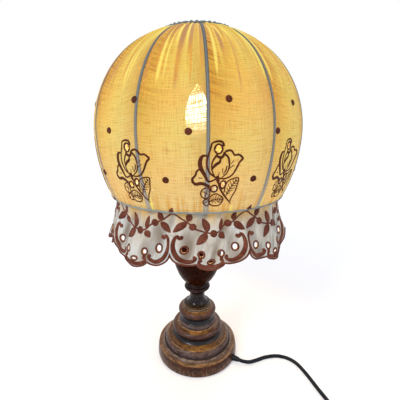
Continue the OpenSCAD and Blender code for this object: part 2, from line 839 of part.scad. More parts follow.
// The coil's line: in along the floor, up a layer in the half turn where it reverses, and out again
coil_half = 360 * coil_turns;
coil_line = concat(
    [for (back = [cord_in_switch, 1]) [switch_x, switch_end_y + back, switch_base_h]],
    [[switch_x, switch_end_y - 10, switch_base_h - 0.8], [switch_x, switch_end_y - 20, coil_z + 1],
     [switch_x, switch_end_y - 28, coil_z]],
    [for (i = [0:2 * coil_turns * coil_steps])
        let(turn = 360 * i / coil_steps)
        let(r = coil_inner_r + coil_pitch * abs(turn - coil_half) / 360)
        let(climb = min(1, max(0, (turn - coil_half + 90) / 180)))
        [coil_centre.x + r * cos(turn), coil_centre.y - r * sin(turn), coil_z + coil_pitch * climb]],
    [[plug_x, plug_y - 15, plug_z + 1.4], [plug_x, plug_y - cord_d - 1, plug_z], [plug_x, plug_y, plug_z]]);

// Least distance between parts of the line that aren't neighbours along it
function segment_distance(p, a, b) =
    let(t = max(0, min(1, (p - a) * (b - a) / ((b - a) * (b - a)))))
    norm(p - a - t * (b - a));
coil_gap = min([for (i = [0:len(coil_line) - 1], j = [0:len(coil_line) - 2])
    if (abs(i - j) > 6) segment_distance(coil_line[i], coil_line[j], coil_line[j + 1])]) - cord_d;
echo(least_gap_of_the_coil = coil_gap);

module cord_coil() {
    color(dark_plastic) cord_tube(coil_line, cord_r, 6);
}

// A band round the turns, opposite the place where they climb
module cord_tie() {
    loops = floor(coil_turns - 0.5) + 1;
    bundle_r = coil_inner_r + coil_pitch / 2 - cord_r - tie_room;
    bundle_w = (loops - 1) * coil_pitch + cord_d + 2 * tie_room;
    bundle_h = coil_pitch + cord_d * cos(30) + 2 * tie_room;
    color(dark_plastic) translate([coil_centre.x, coil_centre.y, tie_t + 0.05])
        rotate([0, 0, 180 - coil_half]) translate([bundle_r, -tie_w / 2, 0]) difference() {
            translate([-tie_t, 0, -tie_t]) cube([bundle_w + 2 * tie_t, tie_w, bundle_h + 2 * tie_t]);
            translate([0, -1, 0]) cube([bundle_w, tie_w + 2, bundle_h]);
        }
}

module at_switch() {
    translate([switch_x, switch_middle_y, 0]) children();
}

module cord_holes() {
    translate([0, switch_l, switch_base_h]) rotate([90, 0, 0]) cylinder(r = cord_r + 0.2, h = 2 * switch_l);
}

module screw_places() {
    for (side = [-1, 1]) translate([side * screw_offset, side * screw_spacing / 2, 0]) children();
}

module switch_cavity(z, h) {
    translate([0, 0, z]) rounded_block(switch_w - 2 * switch_wall, switch_l - 4 * switch_wall, h, 4);
}

module switch_base() {
    color(dark_plastic) at_switch() difference() {
        rounded_block(switch_w, switch_l, switch_base_h, 9);
        difference() {
            switch_cavity(switch_wall, switch_base_h);
            screw_places() cylinder(r = 3, h = switch_base_h);
        }
        cord_holes();
        screw_places() {
            translate([0, 0, -1]) cylinder(r = 1.5, h = switch_base_h + 2);
            translate([0, 0, -1]) cylinder(r = 2.8, h = 3);
        }
    }
}

module switch_cover() {
    cheek_x = rocker_w / 2 + rocker_room;
    plate_z = switch_top_z - switch_wall;
    color(dark_plastic) at_switch() difference() {
        union() {
            difference() {
                union() {
                    translate([0, 0, switch_base_h]) rounded_block(switch_w, switch_l, switch_cover_h - 2, 9);
                    translate([0, 0, switch_top_z - 2]) rounded_block(switch_w - 3, switch_l - 3, 2, 7.5);
                }
                switch_cavity(switch_base_h - 1, switch_cover_h + 1 - switch_wall);
            }
            screw_places() translate([0, 0, switch_base_h]) cylinder(r = 3, h = switch_cover_h - switch_wall);
            for (side = [-1, 1])
                translate([side * (cheek_x + cheek_t / 2) - cheek_t / 2, -4, plate_z - 3.5])
                    cube([cheek_t, 8, 3.5]);
        }
        translate([-cheek_x, -rocker_l / 2 - 1, switch_base_h - 1])
            cube([2 * cheek_x, rocker_l + 2, switch_cover_h + 2]);
        translate([-cheek_x - cheek_t - 0.1, 0, rocker_pivot_z]) rotate([0, 90, 0])
            cylinder(r = trunnion_r + trunnion_room, h = 2 * (cheek_x + cheek_t + 0.1));
        screw_places() translate([0, 0, switch_base_h - 1]) cylinder(r = 1.3, h = switch_cover_h - 2);
        cord_holes();
    }
}

module switch_screws() {
    color(steel) at_switch() screw_places() {
        translate([0, 0, 0.4]) cylinder(r = 2.6, h = 1.6);
        translate([0, 0, 2]) cylinder(r = 1.2, h = switch_top_z - 6);
    }
}

module switch_contacts() {
    color(brass) at_switch() for (side = [-1, 1]) {
        translate([-4, side * 10 - 5, switch_wall]) cube([8, 10, 1]);
        translate([-1.5, side * 7 - 1.5, switch_wall + 1]) cube([3, 3, 3.5]);
    }
}

module switch_rocker() {
    half = rocker_l / 2;
    outline = [
        [-half, -2], [-half, 3], [0, 1.6], [half, 3], [half, -2], [4, -3.6], [-4, -3.6]
    ];
    color(dark_plastic) at_switch() translate([0, 0, rocker_pivot_z]) rotate([rocker_swing / 2, 0, 0]) {
        translate([-rocker_w / 2, 0, 0]) rotate([90, 0, 90]) linear_extrude(rocker_w) polygon(outline);
        rotate([0, 90, 0])
            cylinder(r = trunnion_r, h = rocker_w + 2 * (rocker_room + trunnion_l), center = true);
    }
}

module plug_body() {
    shoulder = 7;
    waist = 12;
    front = plug_relief_l + plug_l;
    outline = [
        [waist / 2, plug_relief_l], [plug_w / 2, plug_relief_l + 15], [plug_w / 2, front - shoulder],
        [plug_w / 2 - 4.5, front], [-plug_w / 2 + 4.5, front], [-plug_w / 2, front - shoulder],
        [-plug_w / 2, plug_relief_l + 15], [-waist / 2, plug_relief_l]
    ];
    color(dark_plastic) translate([plug_x, plug_y, plug_z]) difference() {
        union() {
            translate([0, 0, -plug_h / 2]) linear_extrude(plug_h) polygon(outline);
            rotate([-90, 0, 0]) cylinder(r1 = cord_r + 1, r2 = 5.5, h = plug_relief_l + 1);
        }
        for (side = [-1, 1]) translate([side * pin_spacing / 2, front - 6, 0]) rotate([-90, 0, 0])
            cylinder(r = pin_r - 0.3, h = 7);
    }
}

module plug_pins() {
    front = plug_relief_l + plug_l;
    color(brass) for (side = [-1, 1])
        translate([plug_x + side * pin_spacing / 2, plug_y + front, plug_z]) rotate([-90, 0, 0]) {
            translate([0, 0, -6]) cylinder(r = pin_r - 0.4, h = 6);
            cylinder(r = pin_r, h = pin_l);
        }
}

felt_pad();
foot();
collar();
stem();
urn();
neck();
threaded_tube();
foot_washer();
foot_nut();
cord_gland();
core_wires();
holder_cap();
holder_nut();
holder_shell();
holder_insert();
thread_sleeve();
centre_contact();
side_contact();
terminals();
terminal_screws();
seat_ring();
fitter_ring();
fitter_arms();
top_ring();
bottom_ring();
frame_ribs();
shade_cover();
top_frill();
bottom_binding();
skirt();
clamp_ring();
bulb_glass();
bulb_cap();
bulb_insulator();
bulb_contact();
bulb_filament();
cord_run();
switch_base();
switch_cover();
switch_screws();
switch_contacts();
switch_rocker();
cord_coil();
cord_tie();
plug_body();
plug_pins();
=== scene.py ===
"""Bedside lamp: turned wooden base, lit gathered shade with embroidered skirt, cord, switch and plug."""
import math

import bpy
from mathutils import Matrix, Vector


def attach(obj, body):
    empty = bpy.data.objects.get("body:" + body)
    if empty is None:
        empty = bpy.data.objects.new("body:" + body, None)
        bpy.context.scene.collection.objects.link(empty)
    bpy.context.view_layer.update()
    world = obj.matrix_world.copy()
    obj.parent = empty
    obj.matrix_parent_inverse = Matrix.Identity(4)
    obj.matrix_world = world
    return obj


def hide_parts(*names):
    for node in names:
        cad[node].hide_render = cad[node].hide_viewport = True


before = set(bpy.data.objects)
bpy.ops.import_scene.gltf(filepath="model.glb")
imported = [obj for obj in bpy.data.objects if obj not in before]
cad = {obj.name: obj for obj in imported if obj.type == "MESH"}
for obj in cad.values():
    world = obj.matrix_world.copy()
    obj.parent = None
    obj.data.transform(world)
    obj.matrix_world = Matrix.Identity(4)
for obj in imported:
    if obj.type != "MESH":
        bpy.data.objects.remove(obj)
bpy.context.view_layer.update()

MM = 0.001

# The shade's round, in millimetres
SHADE_R = 150.0
WIDE_Z = 387.1
UPPER_ARC = 136.6
LOWER_ARC = 201.2
TOP_Z = 519.5
BOTTOM_Z = 300.9
CLOTH_T = 0.8
RIB_COUNT = 12
RIB_TURN = 4.3
GORE_STEP = 360 / RIB_COUNT
PANEL_SAG = 3.0
RIM_R = 47.0

# The skirt, in millimetres
SCALLOPS = 9
SCALLOP_TURN = 7.0
SCALLOP_STEP = 360 / SCALLOPS
SKIRT_R = 128.0
SKIRT_Z = 300.3
SKIRT_LONG = 69.0
SKIRT_CREASE = 63.0
SKIRT_NOTCH = 48.0
SKIRT_FLARE = 8.5
SKIRT_TUCK = 6.0
SCALLOP_SPREAD = 8.0
SKIRT_HANG = 0.12
FOLD_DEPTH = 2.2
CREASE_AT = 0.35
LOBE_AT = 0.55

# The bulb's glow, by height in metres: dim at the neck, full at the widest, dark at the tip
BULB_NECK = 0.388
BULB_WIDE = 0.41
BULB_SHOULDER = 0.438
BULB_TIP = 0.447


def smooth_step(low, high, value):
    share = min(1.0, max(0.0, (value - low) / (high - low)))
    return share * share * (3 - 2 * share)


def sine(degrees):
    return math.sin(math.radians(degrees))


def cosine(degrees):
    return math.cos(math.radians(degrees))


def around(radius, turn, height):
    """A place in metres: radius, turn in degrees from the front to the right, and height in millimetres."""
    return Vector((radius * sine(turn), -radius * cosine(turn), height)) * MM


def flowing(points, spacing):
    """Points close together on a smooth line through the drawn ones; further numbers flow along."""
    ends = [points[0]] + list(points) + [points[-1]]
    line = []
    for i in range(1, len(ends) - 2):
        before, here, there, after = ends[i - 1:i + 3]
        length = math.dist(here[:2], there[:2]) if len(here) < 4 else math.dist(here[:3], there[:3])
        steps = max(2, math.ceil(length / spacing))
        for k in range(steps):
            t = k / steps
            line.append(tuple(
                0.5 * (2 * b + (c - a) * t + (2 * a - 5 * b + 4 * c - d) * t * t
                       + (3 * b - a - 3 * c + d) * t ** 3)
                for a, b, c, d in zip(before, here, there, after)))
    line.append(tuple(points[-1]))
    return line


def deselect_all():
    if bpy.context.object and bpy.context.object.mode != "OBJECT":
        bpy.ops.object.mode_set(mode="OBJECT")
    bpy.ops.object.select_all(action="DESELECT")


def pick(piece):
    deselect_all()
    piece.select_set(True)
    bpy.context.view_layer.objects.active = piece


def apply_modifier(piece, kind, **settings):
    pick(piece)
    modifier = piece.modifiers.new(kind.title(), kind)
    for key, value in settings.items():
        setattr(modifier, key, value)
    bpy.ops.object.modifier_apply(modifier=modifier.name)


def new_object(name, data):
    thing = bpy.data.objects.new(name, data)
    bpy.context.scene.collection.objects.link(thing)
    return thing


def mesh_piece(name, points, faces):
    mesh = bpy.data.meshes.new(name)
    mesh.from_pydata(points, [], faces)
    mesh.validate()
    return new_object(name, mesh)


def ring_faces(rows, count):
    """Faces between rows of points, each of which is closed to a ring."""
    faces = []
    for j in range(rows - 1):
        for i in range(count):
            right = (i + 1) % count
            faces.append((j * count + i, j * count + right, (j + 1) * count + right, (j + 1) * count + i))
    return faces


def set_attribute(mesh, name, values):
    mesh.attributes.new(name, "FLOAT", "POINT").data.foreach_set("value", values)


def dress(piece, *looks):
    piece.data.materials.clear()
    for look in looks:
        piece.data.materials.append(look.material)


def place_piece(piece, body, slot, looks, *stands_for):
    """Gives a ready piece its finishes and its body, and hides the nodes it stands for; slot is not used."""
    dress(piece, *looks)
    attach(piece, body)
    if stands_for:
        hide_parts(*stands_for)


# Finishes

def paint(code):
    """A colour written as on screen, in the linear numbers that shaders take."""
    parts = [int(code[i:i + 2], 16) / 255 for i in (1, 3, 5)]
    linear = [p / 12.92 if p <= 0.04045 else ((p + 0.055) / 1.055) ** 2.4 for p in parts]
    return (*linear, 1.0)


def feed(tree, socket, value):
    """Gives a socket what flows from another node, a colour by its code, or a number."""
    if isinstance(value, Flow):
        tree.links.new(value.socket, socket)
    else:
        socket.default_value = paint(value) if isinstance(value, str) else value


def feed_all(tree, node, inputs):
    """Feeds a node's inputs, whose names have an underscore for each space."""
    for key, value in inputs.items():
        feed(tree, node.inputs[key.replace("_", " ")], value)


def add_node(tree, kind, settings=None, **inputs):
    node = tree.nodes.new("ShaderNode" + kind)
    for key, value in (settings or {}).items():
        setattr(node, key, value)
    feed_all(tree, node, inputs)
    return node


def maths(tree, operation, *values):
    node = add_node(tree, "Math", {"operation": operation})
    for socket, value in zip(node.inputs, values):
        feed(tree, socket, value)
    return Flow(tree, node.outputs[0])


class Flow:
    """What comes out of a shader node and feeds further ones: a number, a colour or a place."""

    def __init__(self, tree, socket):
        self.tree = tree
        self.socket = socket

    def into(self, kind, settings=None, output=0, **inputs):
        return Flow(self.tree, add_node(self.tree, kind, settings, **inputs).outputs[output])

    def __mul__(self, other):
        return maths(self.tree, "MULTIPLY", self, other)

    def __add__(self, other):
        return maths(self.tree, "ADD", self, other)

    def __sub__(self, other):
        return maths(self.tree, "SUBTRACT", self, other)

    def __truediv__(self, other):
        return maths(self.tree, "DIVIDE", self, other)

    def __abs__(self):
        return maths(self.tree, "ABSOLUTE", self)

    def spread(self, low, high, to_low=0.0, to_high=1.0):
        """Carries a number from one range over to another, and holds it there at the ends."""
        return self.into("MapRange", Value=self, From_Min=low, From_Max=high, To_Min=to_low, To_Max=to_high)

    def ramp(self, *stops):
        """The colour at a number, between stops that each have a position and a colour."""
        node = add_node(self.tree, "ValToRGB", Fac=self)
        elements = node.color_ramp.elements
        while len(elements) < len(stops):
            elements.new(0.5)
        for element, (position, code) in zip(elements, stops):
            element.position = position
            element.color = paint(code)
        return Flow(self.tree, node.outputs["Color"])

    def blend(self, share, other):
        """Goes over to another colour by a share."""
        return self.into("MixRGB", {"blend_type": "MIX"}, Fac=share, Color1=self, Color2=other)

    def tint(self, share, tone):
        """Multiplies a colour by a tone, by a share."""
        return self.into("MixRGB", {"blend_type": "MULTIPLY"}, Fac=share, Color1=self, Color2=tone)

    def speckle(self, scale, detail=4.0, roughness=0.6):
        return self.into(
            "TexNoise", None, "Fac", Vector=self, Scale=scale, Detail=detail, Roughness=roughness)

    def fibres(self, scale, detail=2.0, roughness=0.5):
        """Speckles drawn out along the axis that has the smallest scale."""
        return self.into("Mapping", Vector=self, Scale=scale).speckle(1.0, detail, roughness)

    def woven(self, thread):
        """The uneven warp and weft of a plain weave, on a plane of metres along the cloth."""
        fine = 1.0 / thread
        drawn_out = 0.045 / thread
        return self.fibres((fine, drawn_out, 1.0)), self.fibres((drawn_out, fine, 1.0))

    def bumped(self, strength, distance):
        return self.into("Bump", Height=self, Strength=strength, Distance=distance)

    def length(self):
        return self.into("VectorMath", {"operation": "LENGTH"}, "Value", Vector=self)

    def split(self):
        """The three numbers of a place."""
        return [Flow(self.tree, part) for part in add_node(self.tree, "SeparateXYZ", Vector=self).outputs]


def joined(x, y, z=0.0):
    """A place from its three numbers."""
    return x.into("CombineXYZ", X=x, Y=y, Z=z)


def seen(tree):
    """One for rays of the camera, of reflections and through glass, and nothing for the light's own."""
    rays = add_node(tree, "LightPath").outputs
    camera_ray, glossy_ray, glass_ray = [
        Flow(tree, rays[name]) for name in ("Is Camera Ray", "Is Glossy Ray", "Is Transmission Ray")]
    return maths(tree, "MAXIMUM", maths(tree, "MAXIMUM", camera_ray, glossy_ray), glass_ray)


class Finish:
    """A material: flows start at its places and attributes, and end in its shader."""

    def __init__(self, name, **inputs):
        self.material = bpy.data.materials.new(name)
        self.material.use_nodes = True
        self.tree = self.material.node_tree
        self.set(**inputs)

    def set(self, **inputs):
        feed_all(self.tree, self.tree.nodes["Principled BSDF"], inputs)

    def start(self, kind, output, settings=None):
        return Flow(self.tree, add_node(self.tree, kind, settings).outputs[output])

    def attribute(self, name):
        return self.start("Attribute", "Fac", {"attribute_name": name})

    def cloth_place(self):
        return self.start("UVMap", "UV", {"uv_map": "cloth"})

    def object_place(self):
        return self.start("TexCoord", "Object")


# How close the wood's streaks are round the axis, up it and away from it, and the heights of its scuffs
STREAKS_ROUND = 6.5
STREAKS_UP = 430.0
STREAKS_IN = 390.0
SCUFF_TOP = 0.017
SCUFF_FULL = 0.004


def wood_finish(name, low_z, high_z, stops, painted_glint, gloss, shine):
    """Turned wood: bands of stain by height with painted shade in the coves, a painted gold reflection on the
    front, streaks round it, pores and scuffs.
    """
    wood = Finish(name, Specular_IOR_Level=shine)
    place = wood.object_place()
    x, y, z = place.split()
    beside = joined(x, y)
    right, back, _ = beside.into("VectorMath", {"operation": "NORMALIZE"}, Vector=beside).split()
    streak_place = joined(right * STREAKS_ROUND, back * STREAKS_ROUND, z * STREAKS_UP)
    streaks = streak_place.into(
        "TexNoise", {"noise_dimensions": "4D"}, "Fac", Vector=streak_place, W=beside.length() * STREAKS_IN,
        Scale=1.0, Detail=6.0, Roughness=0.68)
    patches = place.speckle(55.0)
    pores = place.fibres((520.0, 520.0, 90.0), 2.0, 0.8)
    scuffs = place.fibres((420.0, 420.0, 110.0), 3.0, 0.6)
    nicks = place.fibres((150.0, 640.0, 260.0), 3.0, 0.7)
    level = z.spread(low_z * MM, high_z * MM) + (patches - 0.5) * 0.012
    # Painted reflection: a gold patch on the front of the upward faces, for the lit shade seen in them
    front = (back * -1.0).spread(0.84, 0.98)
    painted_glint_share = front * level.ramp(*painted_glint) * patches.spread(0.3, 0.62, 0.55, 1.0)
    stain_with_painted_glint = level.ramp(*stops).blend(painted_glint_share, "#9f7842")
    oiled = stain_with_painted_glint.tint(1.0, (1.42, 1.4, 1.42, 1.0))
    streaked = oiled.tint(0.95, streaks.ramp(
        (0.3, "#3a2e28"), (0.44, "#9a8c82"), (0.52, "#e6dcd0"), (0.62, "#fffaf0")))
    worn = streaked.tint(patches.spread(0.55, 0.72, 0.0, 0.5), (1.7, 1.55, 1.4, 1.0))
    pored = worn.blend(pores.spread(0.6, 0.72, 0.0, 0.6), "#120906")
    scratched = pored.tint(nicks.spread(0.58, 0.68, 0.0, 0.6), (2.3, 2.1, 1.9, 1.0))
    scuff_share = z.spread(SCUFF_TOP, SCUFF_FULL) * scuffs.spread(0.46, 0.62, 0.0, 0.8)
    wood.set(
        Base_Color=scratched.blend(scuff_share, "#8d735c"),
        Roughness=streaks.spread(0.3, 0.7, gloss + 0.2, gloss - 0.04), Normal=streaks.bumped(0.14, 0.0003))
    return wood


# Stain by the share of a piece's height, whose near-black bluish stops in the coves and grooves are painted
# shade and whose grey-blue tones on the rounded tiers are a painted sheen; and how strongly a painted gold
# reflection shows on the front there, from black to white
FOOT_STAIN_AND_SHADE = [
    (0.03, "#574637"), (0.12, "#523525"), (0.28, "#40231a"), (0.46, "#3f2216"), (0.5, "#4f3020"),
    (0.51, "#6c5140"), (0.52, "#7e644c"), (0.53, "#655242"), (0.6, "#5e5453"), (0.612, "#9a8672"),
    (0.622, "#4a3d39"), (0.645, "#201918"), (0.66, "#40353a"), (0.78, "#57494a"), (0.885, "#54443d"),
    (0.897, "#8a6e52"), (0.91, "#553f2c"), (0.96, "#5a432e"), (0.99, "#433022")]
FOOT_PAINTED_GLINT = [
    (0.0, "#000000"), (0.49, "#000000"), (0.515, "#606060"), (0.54, "#000000"), (0.89, "#000000"),
    (0.92, "#d0d0d0"), (0.975, "#d0d0d0"), (0.99, "#303030")]
COLLAR_STAIN_AND_SHADE = [
    (0.0, "#23222a"), (0.1, "#1c1e26"), (0.155, "#211f26"), (0.175, "#351a10"), (0.22, "#3f241b"),
    (0.28, "#4b3433"), (0.325, "#50382f"), (0.345, "#5b3f26"), (0.355, "#94806c"), (0.365, "#30251f"),
    (0.4, "#4b4042"), (0.46, "#5d5052"), (0.47, "#2a272c"), (0.53, "#1e2028"), (0.66, "#1b1d24"),
    (0.69, "#3a1e13"), (0.77, "#472d24"), (0.84, "#503935"), (0.88, "#5a3d26"), (0.894, "#8e7a66"),
    (0.905, "#2c211c"), (0.93, "#4d4038"), (0.945, "#847260"), (0.955, "#241b18"), (0.985, "#3d2e20"),
    (1.0, "#54401c")]
COLLAR_PAINTED_GLINT = [
    (0.0, "#000000"), (0.325, "#000000"), (0.342, "#d8d8d8"), (0.352, "#d8d8d8"), (0.36, "#000000"),
    (0.862, "#000000"), (0.88, "#d8d8d8"), (0.89, "#d8d8d8"), (0.9, "#000000"), (0.985, "#000000"),
    (1.0, "#707070")]
DARK_STOPS = [
    (0.0, "#33281a"), (0.01, "#231a19"), (0.12, "#261815"), (0.17, "#2c160d"), (0.19, "#2e1206"),
    (0.6, "#38160a"), (1.0, "#38190c")]
DARK_PAINTED_GLINT = [(0.0, "#000000"), (1.0, "#000000")]

foot_wood = wood_finish("foot_wood", 0.0, 40.0, FOOT_STAIN_AND_SHADE, FOOT_PAINTED_GLINT, gloss=0.22, shine=0.19)
collar_wood = wood_finish("collar_wood", 39.3, 96.8, COLLAR_STAIN_AND_SHADE, COLLAR_PAINTED_GLINT, gloss=0.18, shine=0.22)
dark_wood = wood_finish("dark_wood", 96.8, 322.0, DARK_STOPS, DARK_PAINTED_GLINT, gloss=0.08, shine=0.22)
dark_wood.set(Specular_Tint=(0.72, 0.86, 1.0, 1.0))
urn_wood = wood_finish("urn_wood", 96.8, 322.0, DARK_STOPS, DARK_PAINTED_GLINT, gloss=0.14, shine=0.03)

# Threads of the two cloths, in metres, the share of light through the linen, and the lawn's creases
LINEN_THREAD = 0.0011
LINEN_OPEN = 0.2
LAWN_THREAD = 0.00045
LAWN_LEAN = 14.0


def shade_cloth_finish(name, glow):
    """Unbleached linen with a painted glow for the bulb's light through it, painted rib shadows where a rib
    lies under it, and painted light and shade across each gore and in its gathers.
    """
    cloth = Finish(name, Roughness=0.9, Sheen_Weight=0.1)
    plane = cloth.cloth_place()
    fold = cloth.attribute("fold")
    gore = cloth.attribute("gore")
    _, _, height = cloth.object_place().split()
    level = height.spread(BOTTOM_Z * MM, TOP_Z * MM)
    off_middle = gore * 2.0 - 1.0
    droop = off_middle * off_middle * level.spread(0.25, 0.8, 0.001, 0.011)
    across, along, _ = plane.split()
    sagging = joined(across, along - droop)
    warp, weft = sagging.woven(LINEN_THREAD)
    threads = warp * 0.45 + weft * 0.55
    slubs = sagging.fibres((22.0, 420.0, 1.0), 3.0, 0.6)
    hatch = sagging.fibres((18.0, 440.0, 1.0))
    clouds = plane.fibres((9.0, 11.0, 1.0))
    # Colour of the linen and of its painted glow by height: gold-yellow at the top, creamy lower down
    lit = level.ramp(
        (0.0, "#e6cc97"), (0.14, "#e8cd92"), (0.4, "#e5ce87"), (0.62, "#e2ca79"), (0.85, "#e0c464"),
        (1.0, "#dbb950"))
    varied = lit.tint(0.8, clouds.ramp((0.3, "#fbe0cc"), (0.5, "#f8f2e0"), (0.7, "#ecf0cc")))
    threaded = varied.tint(0.8, threads.ramp((0.32, "#c9a672"), (0.47, "#fff6e6"), (0.62, "#ffffff")))
    slubbed = threaded.blend(slubs.spread(0.63, 0.72, 0.0, 0.4), "#b98f45")
    # Painted shade: darker weave hatch in the top of each gore, just after its rib
    painted_shade_hatch_share = level.spread(0.45, 0.75, 0.0, 0.8) * gore.spread(0.5, 0.15)
    hatched_in_painted_shade = slubbed.tint(painted_shade_hatch_share, hatch.ramp((0.4, "#cc9f58"), (0.54, "#ffffff")))
    # Painted light and shade across each gore: deep gold after one rib, pale in the middle, pinkish before
    # the next
    painted_gore_shade_share = level.spread(0.15, 0.6, 0.35, 0.95) * level.spread(0.8, 0.97, 1.0, 0.45)
    with_painted_gore_shade = hatched_in_painted_shade.tint(painted_gore_shade_share, gore.ramp(
        (0.0, "#e6c57e"), (0.1, "#f0d797"), (0.28, "#fef0c2"), (0.5, "#fffce2"), (0.72, "#fcfcf2"),
        (0.9, "#efe0d2"), (1.0, "#dfcbc0")))
    # Painted shade in the valleys of the gathers, and painted light on their crests
    painted_gather_shade_top = clouds.ramp((0.4, "#ad7a52"), (0.55, "#d08e33"))
    painted_gather_shade = painted_gather_shade_top.blend(level.spread(0.3, 0.6, 1.0, 0.0), "#d39c40")
    gathered = with_painted_gore_shade.blend(fold.spread(-0.05, -0.6, 0.0, 0.85), painted_gather_shade)
    with_painted_crest_light = gathered.blend(fold.spread(0.08, 0.5, 0.0, 0.75), "#f3df6c")
    # Painted rib shadows: grey bands with darker edges where a rib lies under the linen, wider at the bottom,
    # with no glow there
    off_rib = cloth.attribute("rib_gap") / level.spread(0.02, 0.35, 1.7, 1.0)
    rib_shadow = off_rib.spread(2.2, 1.5) * 0.95
    rib_shadow_middle = level.ramp((0.0, "#cabda9"), (0.2, "#b4b1aa"), (0.6, "#929b9e"), (1.0, "#6a7476"))
    rib_shadow_edge = level.ramp((0.0, "#b9aa98"), (0.2, "#8d8b86"), (0.5, "#69716f"), (1.0, "#4b5255"))
    with_painted_rib_shadows = with_painted_crest_light.blend(rib_shadow, rib_shadow_middle.blend(off_rib.spread(0.5, 1.3), rib_shadow_edge))
    rib_shadow_glow_cut = rib_shadow * level.spread(0.0, 0.3, 0.5, 0.8)
    gaps = threads.spread(0.4, 0.62, LINEN_OPEN * 1.7, 0.2 * LINEN_OPEN)
    open_weave = gaps * slubs.spread(0.5, 0.68, 1.0, 0.25) * level.spread(0.84, 0.74)
    clear = open_weave * rib_shadow.spread(0.0, 1.0, 1.0, 0.0)
    cloth.set(
        Base_Color=with_painted_rib_shadows.tint(1.0, (0.52, 0.52, 0.56, 1.0)),
        Emission_Color=with_painted_rib_shadows.tint(1.0, (1.0, 1.01, 0.96, 1.0)),
        Emission_Strength=rib_shadow_glow_cut.spread(0.0, 1.0, glow, 0.0),
        Alpha=clear.spread(0.0, 1.0, 1.0, 0.0),
        Normal=(threads + slubs * 0.5).bumped(0.35, 0.0006))
    return cloth


def skirt_cloth_finish():
    """Off-white cotton lawn, with painted shade in its folds and creases and a painted warm glow next to the
    shade's rim.
    """
    cloth = Finish("skirt_cotton", Roughness=0.85, Sheen_Weight=0.1, Specular_IOR_Level=0.2)
    plane = cloth.cloth_place()
    warp, weft = plane.woven(LAWN_THREAD)
    threads = warp + weft
    clouds = plane.fibres((24.0, 22.0, 1.0))
    patches = plane.fibres((55.0, 20.0, 1.0))
    leaning = plane.into("Mapping", Vector=plane, Rotation=(0.0, 0.0, math.radians(LAWN_LEAN)))
    ridges = leaning.fibres((70.0, 16.0, 1.0), 3.0)
    base = clouds.ramp((0.3, "#d8cabb"), (0.5, "#e9e3d9"), (0.7, "#e0e4e3"))
    # Painted shade in the folds, and painted darker lines along the creases, which are bumped as well
    with_painted_fold_shade = base.blend(cloth.attribute("fold").spread(0.4, -1.5, 0.0, 0.85), "#8a7664")
    crease = abs(ridges - 0.5).spread(0.0, 0.05, 1.0, 0.0)
    with_painted_crease_shade = with_painted_fold_shade.blend(crease * 0.4, "#9d8f80")
    # Painted warm glow next to the shade's rim, in the colour and as emission
    painted_glow_share = cloth.attribute("drop").spread(24.0, 3.0, 0.0, 0.95) * patches.spread(0.37, 0.54)
    with_painted_glow = with_painted_crease_shade.blend(painted_glow_share, "#c39a4c")
    cloth.set(
        Base_Color=with_painted_glow.tint(0.45, (threads * 0.5).ramp((0.35, "#cfcac2"), (0.55, "#ffffff"))),
        Emission_Color="#e0b468", Emission_Strength=painted_glow_share * 0.32,
        Normal=(threads - crease * 1.5).bumped(0.3, 0.0004))
    return cloth


def thread_finish(name, *tones):
    """Brown satin stitch: close strands with a soft shine."""
    stitch = Finish(name, Roughness=0.6, Specular_IOR_Level=0.15)
    across = stitch.attribute("across")
    slant = stitch.attribute("along") + across * 0.5
    strands = joined(slant * 2.6, across * 0.35).speckle(1.0, 2.0, 0.55)
    brown = stitch.object_place().speckle(90.0, 2.0).ramp(*zip((0.3, 0.5, 0.72), tones))
    stitch.set(
        Base_Color=brown.tint(0.7, strands.ramp((0.3, "#8f766c"), (0.6, "#ffffff"))),
        Normal=strands.bumped(0.5, 0.0004))
    return stitch


def grainy_finish(name, dark, light, roughness, scale, depth, **inputs):
    """A moulded, drawn or brushed surface: two close tones, uneven roughness and a fine grain."""
    surface = Finish(name, **inputs)
    place = surface.object_place()
    grain = place.speckle(scale, 4.0, 0.65)
    wear = place.speckle(scale * 0.08, 3.0)
    stops = ((0.35, dark), (0.65, light))
    surface.set(
        Base_Color=grain.ramp(*stops).blend(0.5, wear.ramp(*stops)),
        Roughness=wear.spread(0.3, 0.7, roughness - 0.08, roughness + 0.1), Normal=grain.bumped(0.3, depth))
    return surface


# The linen's glow is painted light from emission; its inside glows brighter than its outside
shade_cloth = shade_cloth_finish("shade_linen", glow=0.68)
shade_lining = shade_cloth_finish("shade_linen_inside", glow=1.25)
skirt_cloth = skirt_cloth_finish()
# The skirt's inside: yellowish, with a painted warm glow
skirt_lining_painted_glow = grainy_finish(
    "skirt_inside", "#d8c084", "#e8d49a", 0.85, 900.0, 0.0002,
    Emission_Color="#e8b840", Emission_Strength=0.35)
thread = thread_finish("brown_thread", "#642f20", "#7a402e", "#935843")
# Thread on the glowing linen: darker tones painted for thread seen against the glow
thread_painted_dark_against_glow = thread_finish("thread_painted_dark_against_glow", "#4a200d", "#602b14", "#743a1f")
grey_tape = grainy_finish("grey_tape", "#4d5557", "#848d8f", 0.8, 900.0, 0.0003)
piping_tape = grainy_finish("piping_tape", "#7d8688", "#a4acad", 0.8, 900.0, 0.0003)
wire_grey = grainy_finish("frame_wire", "#7c8485", "#a9afb0", 0.45, 500.0, 0.0001, Metallic=0.6)
steel = grainy_finish("zinc_steel", "#84898c", "#b2b7ba", 0.35, 700.0, 0.0001, Metallic=1.0)
brass = grainy_finish("old_brass", "#8f6d33", "#c39c55", 0.32, 600.0, 0.0001, Metallic=1.0)
ceramic = grainy_finish("white_ceramic", "#d9d4c8", "#ece8de", 0.25, 300.0, 0.0001)
black_glass = grainy_finish("black_glass", "#141414", "#242424", 0.2, 300.0, 0.0001)
wire_skin = grainy_finish("wire_insulation", "#6d3f1c", "#8a552a", 0.45, 500.0, 0.0001)
cord_rubber = grainy_finish("cord_rubber", "#0c1015", "#171d25", 0.4, 800.0, 0.0002, Specular_IOR_Level=0.14)
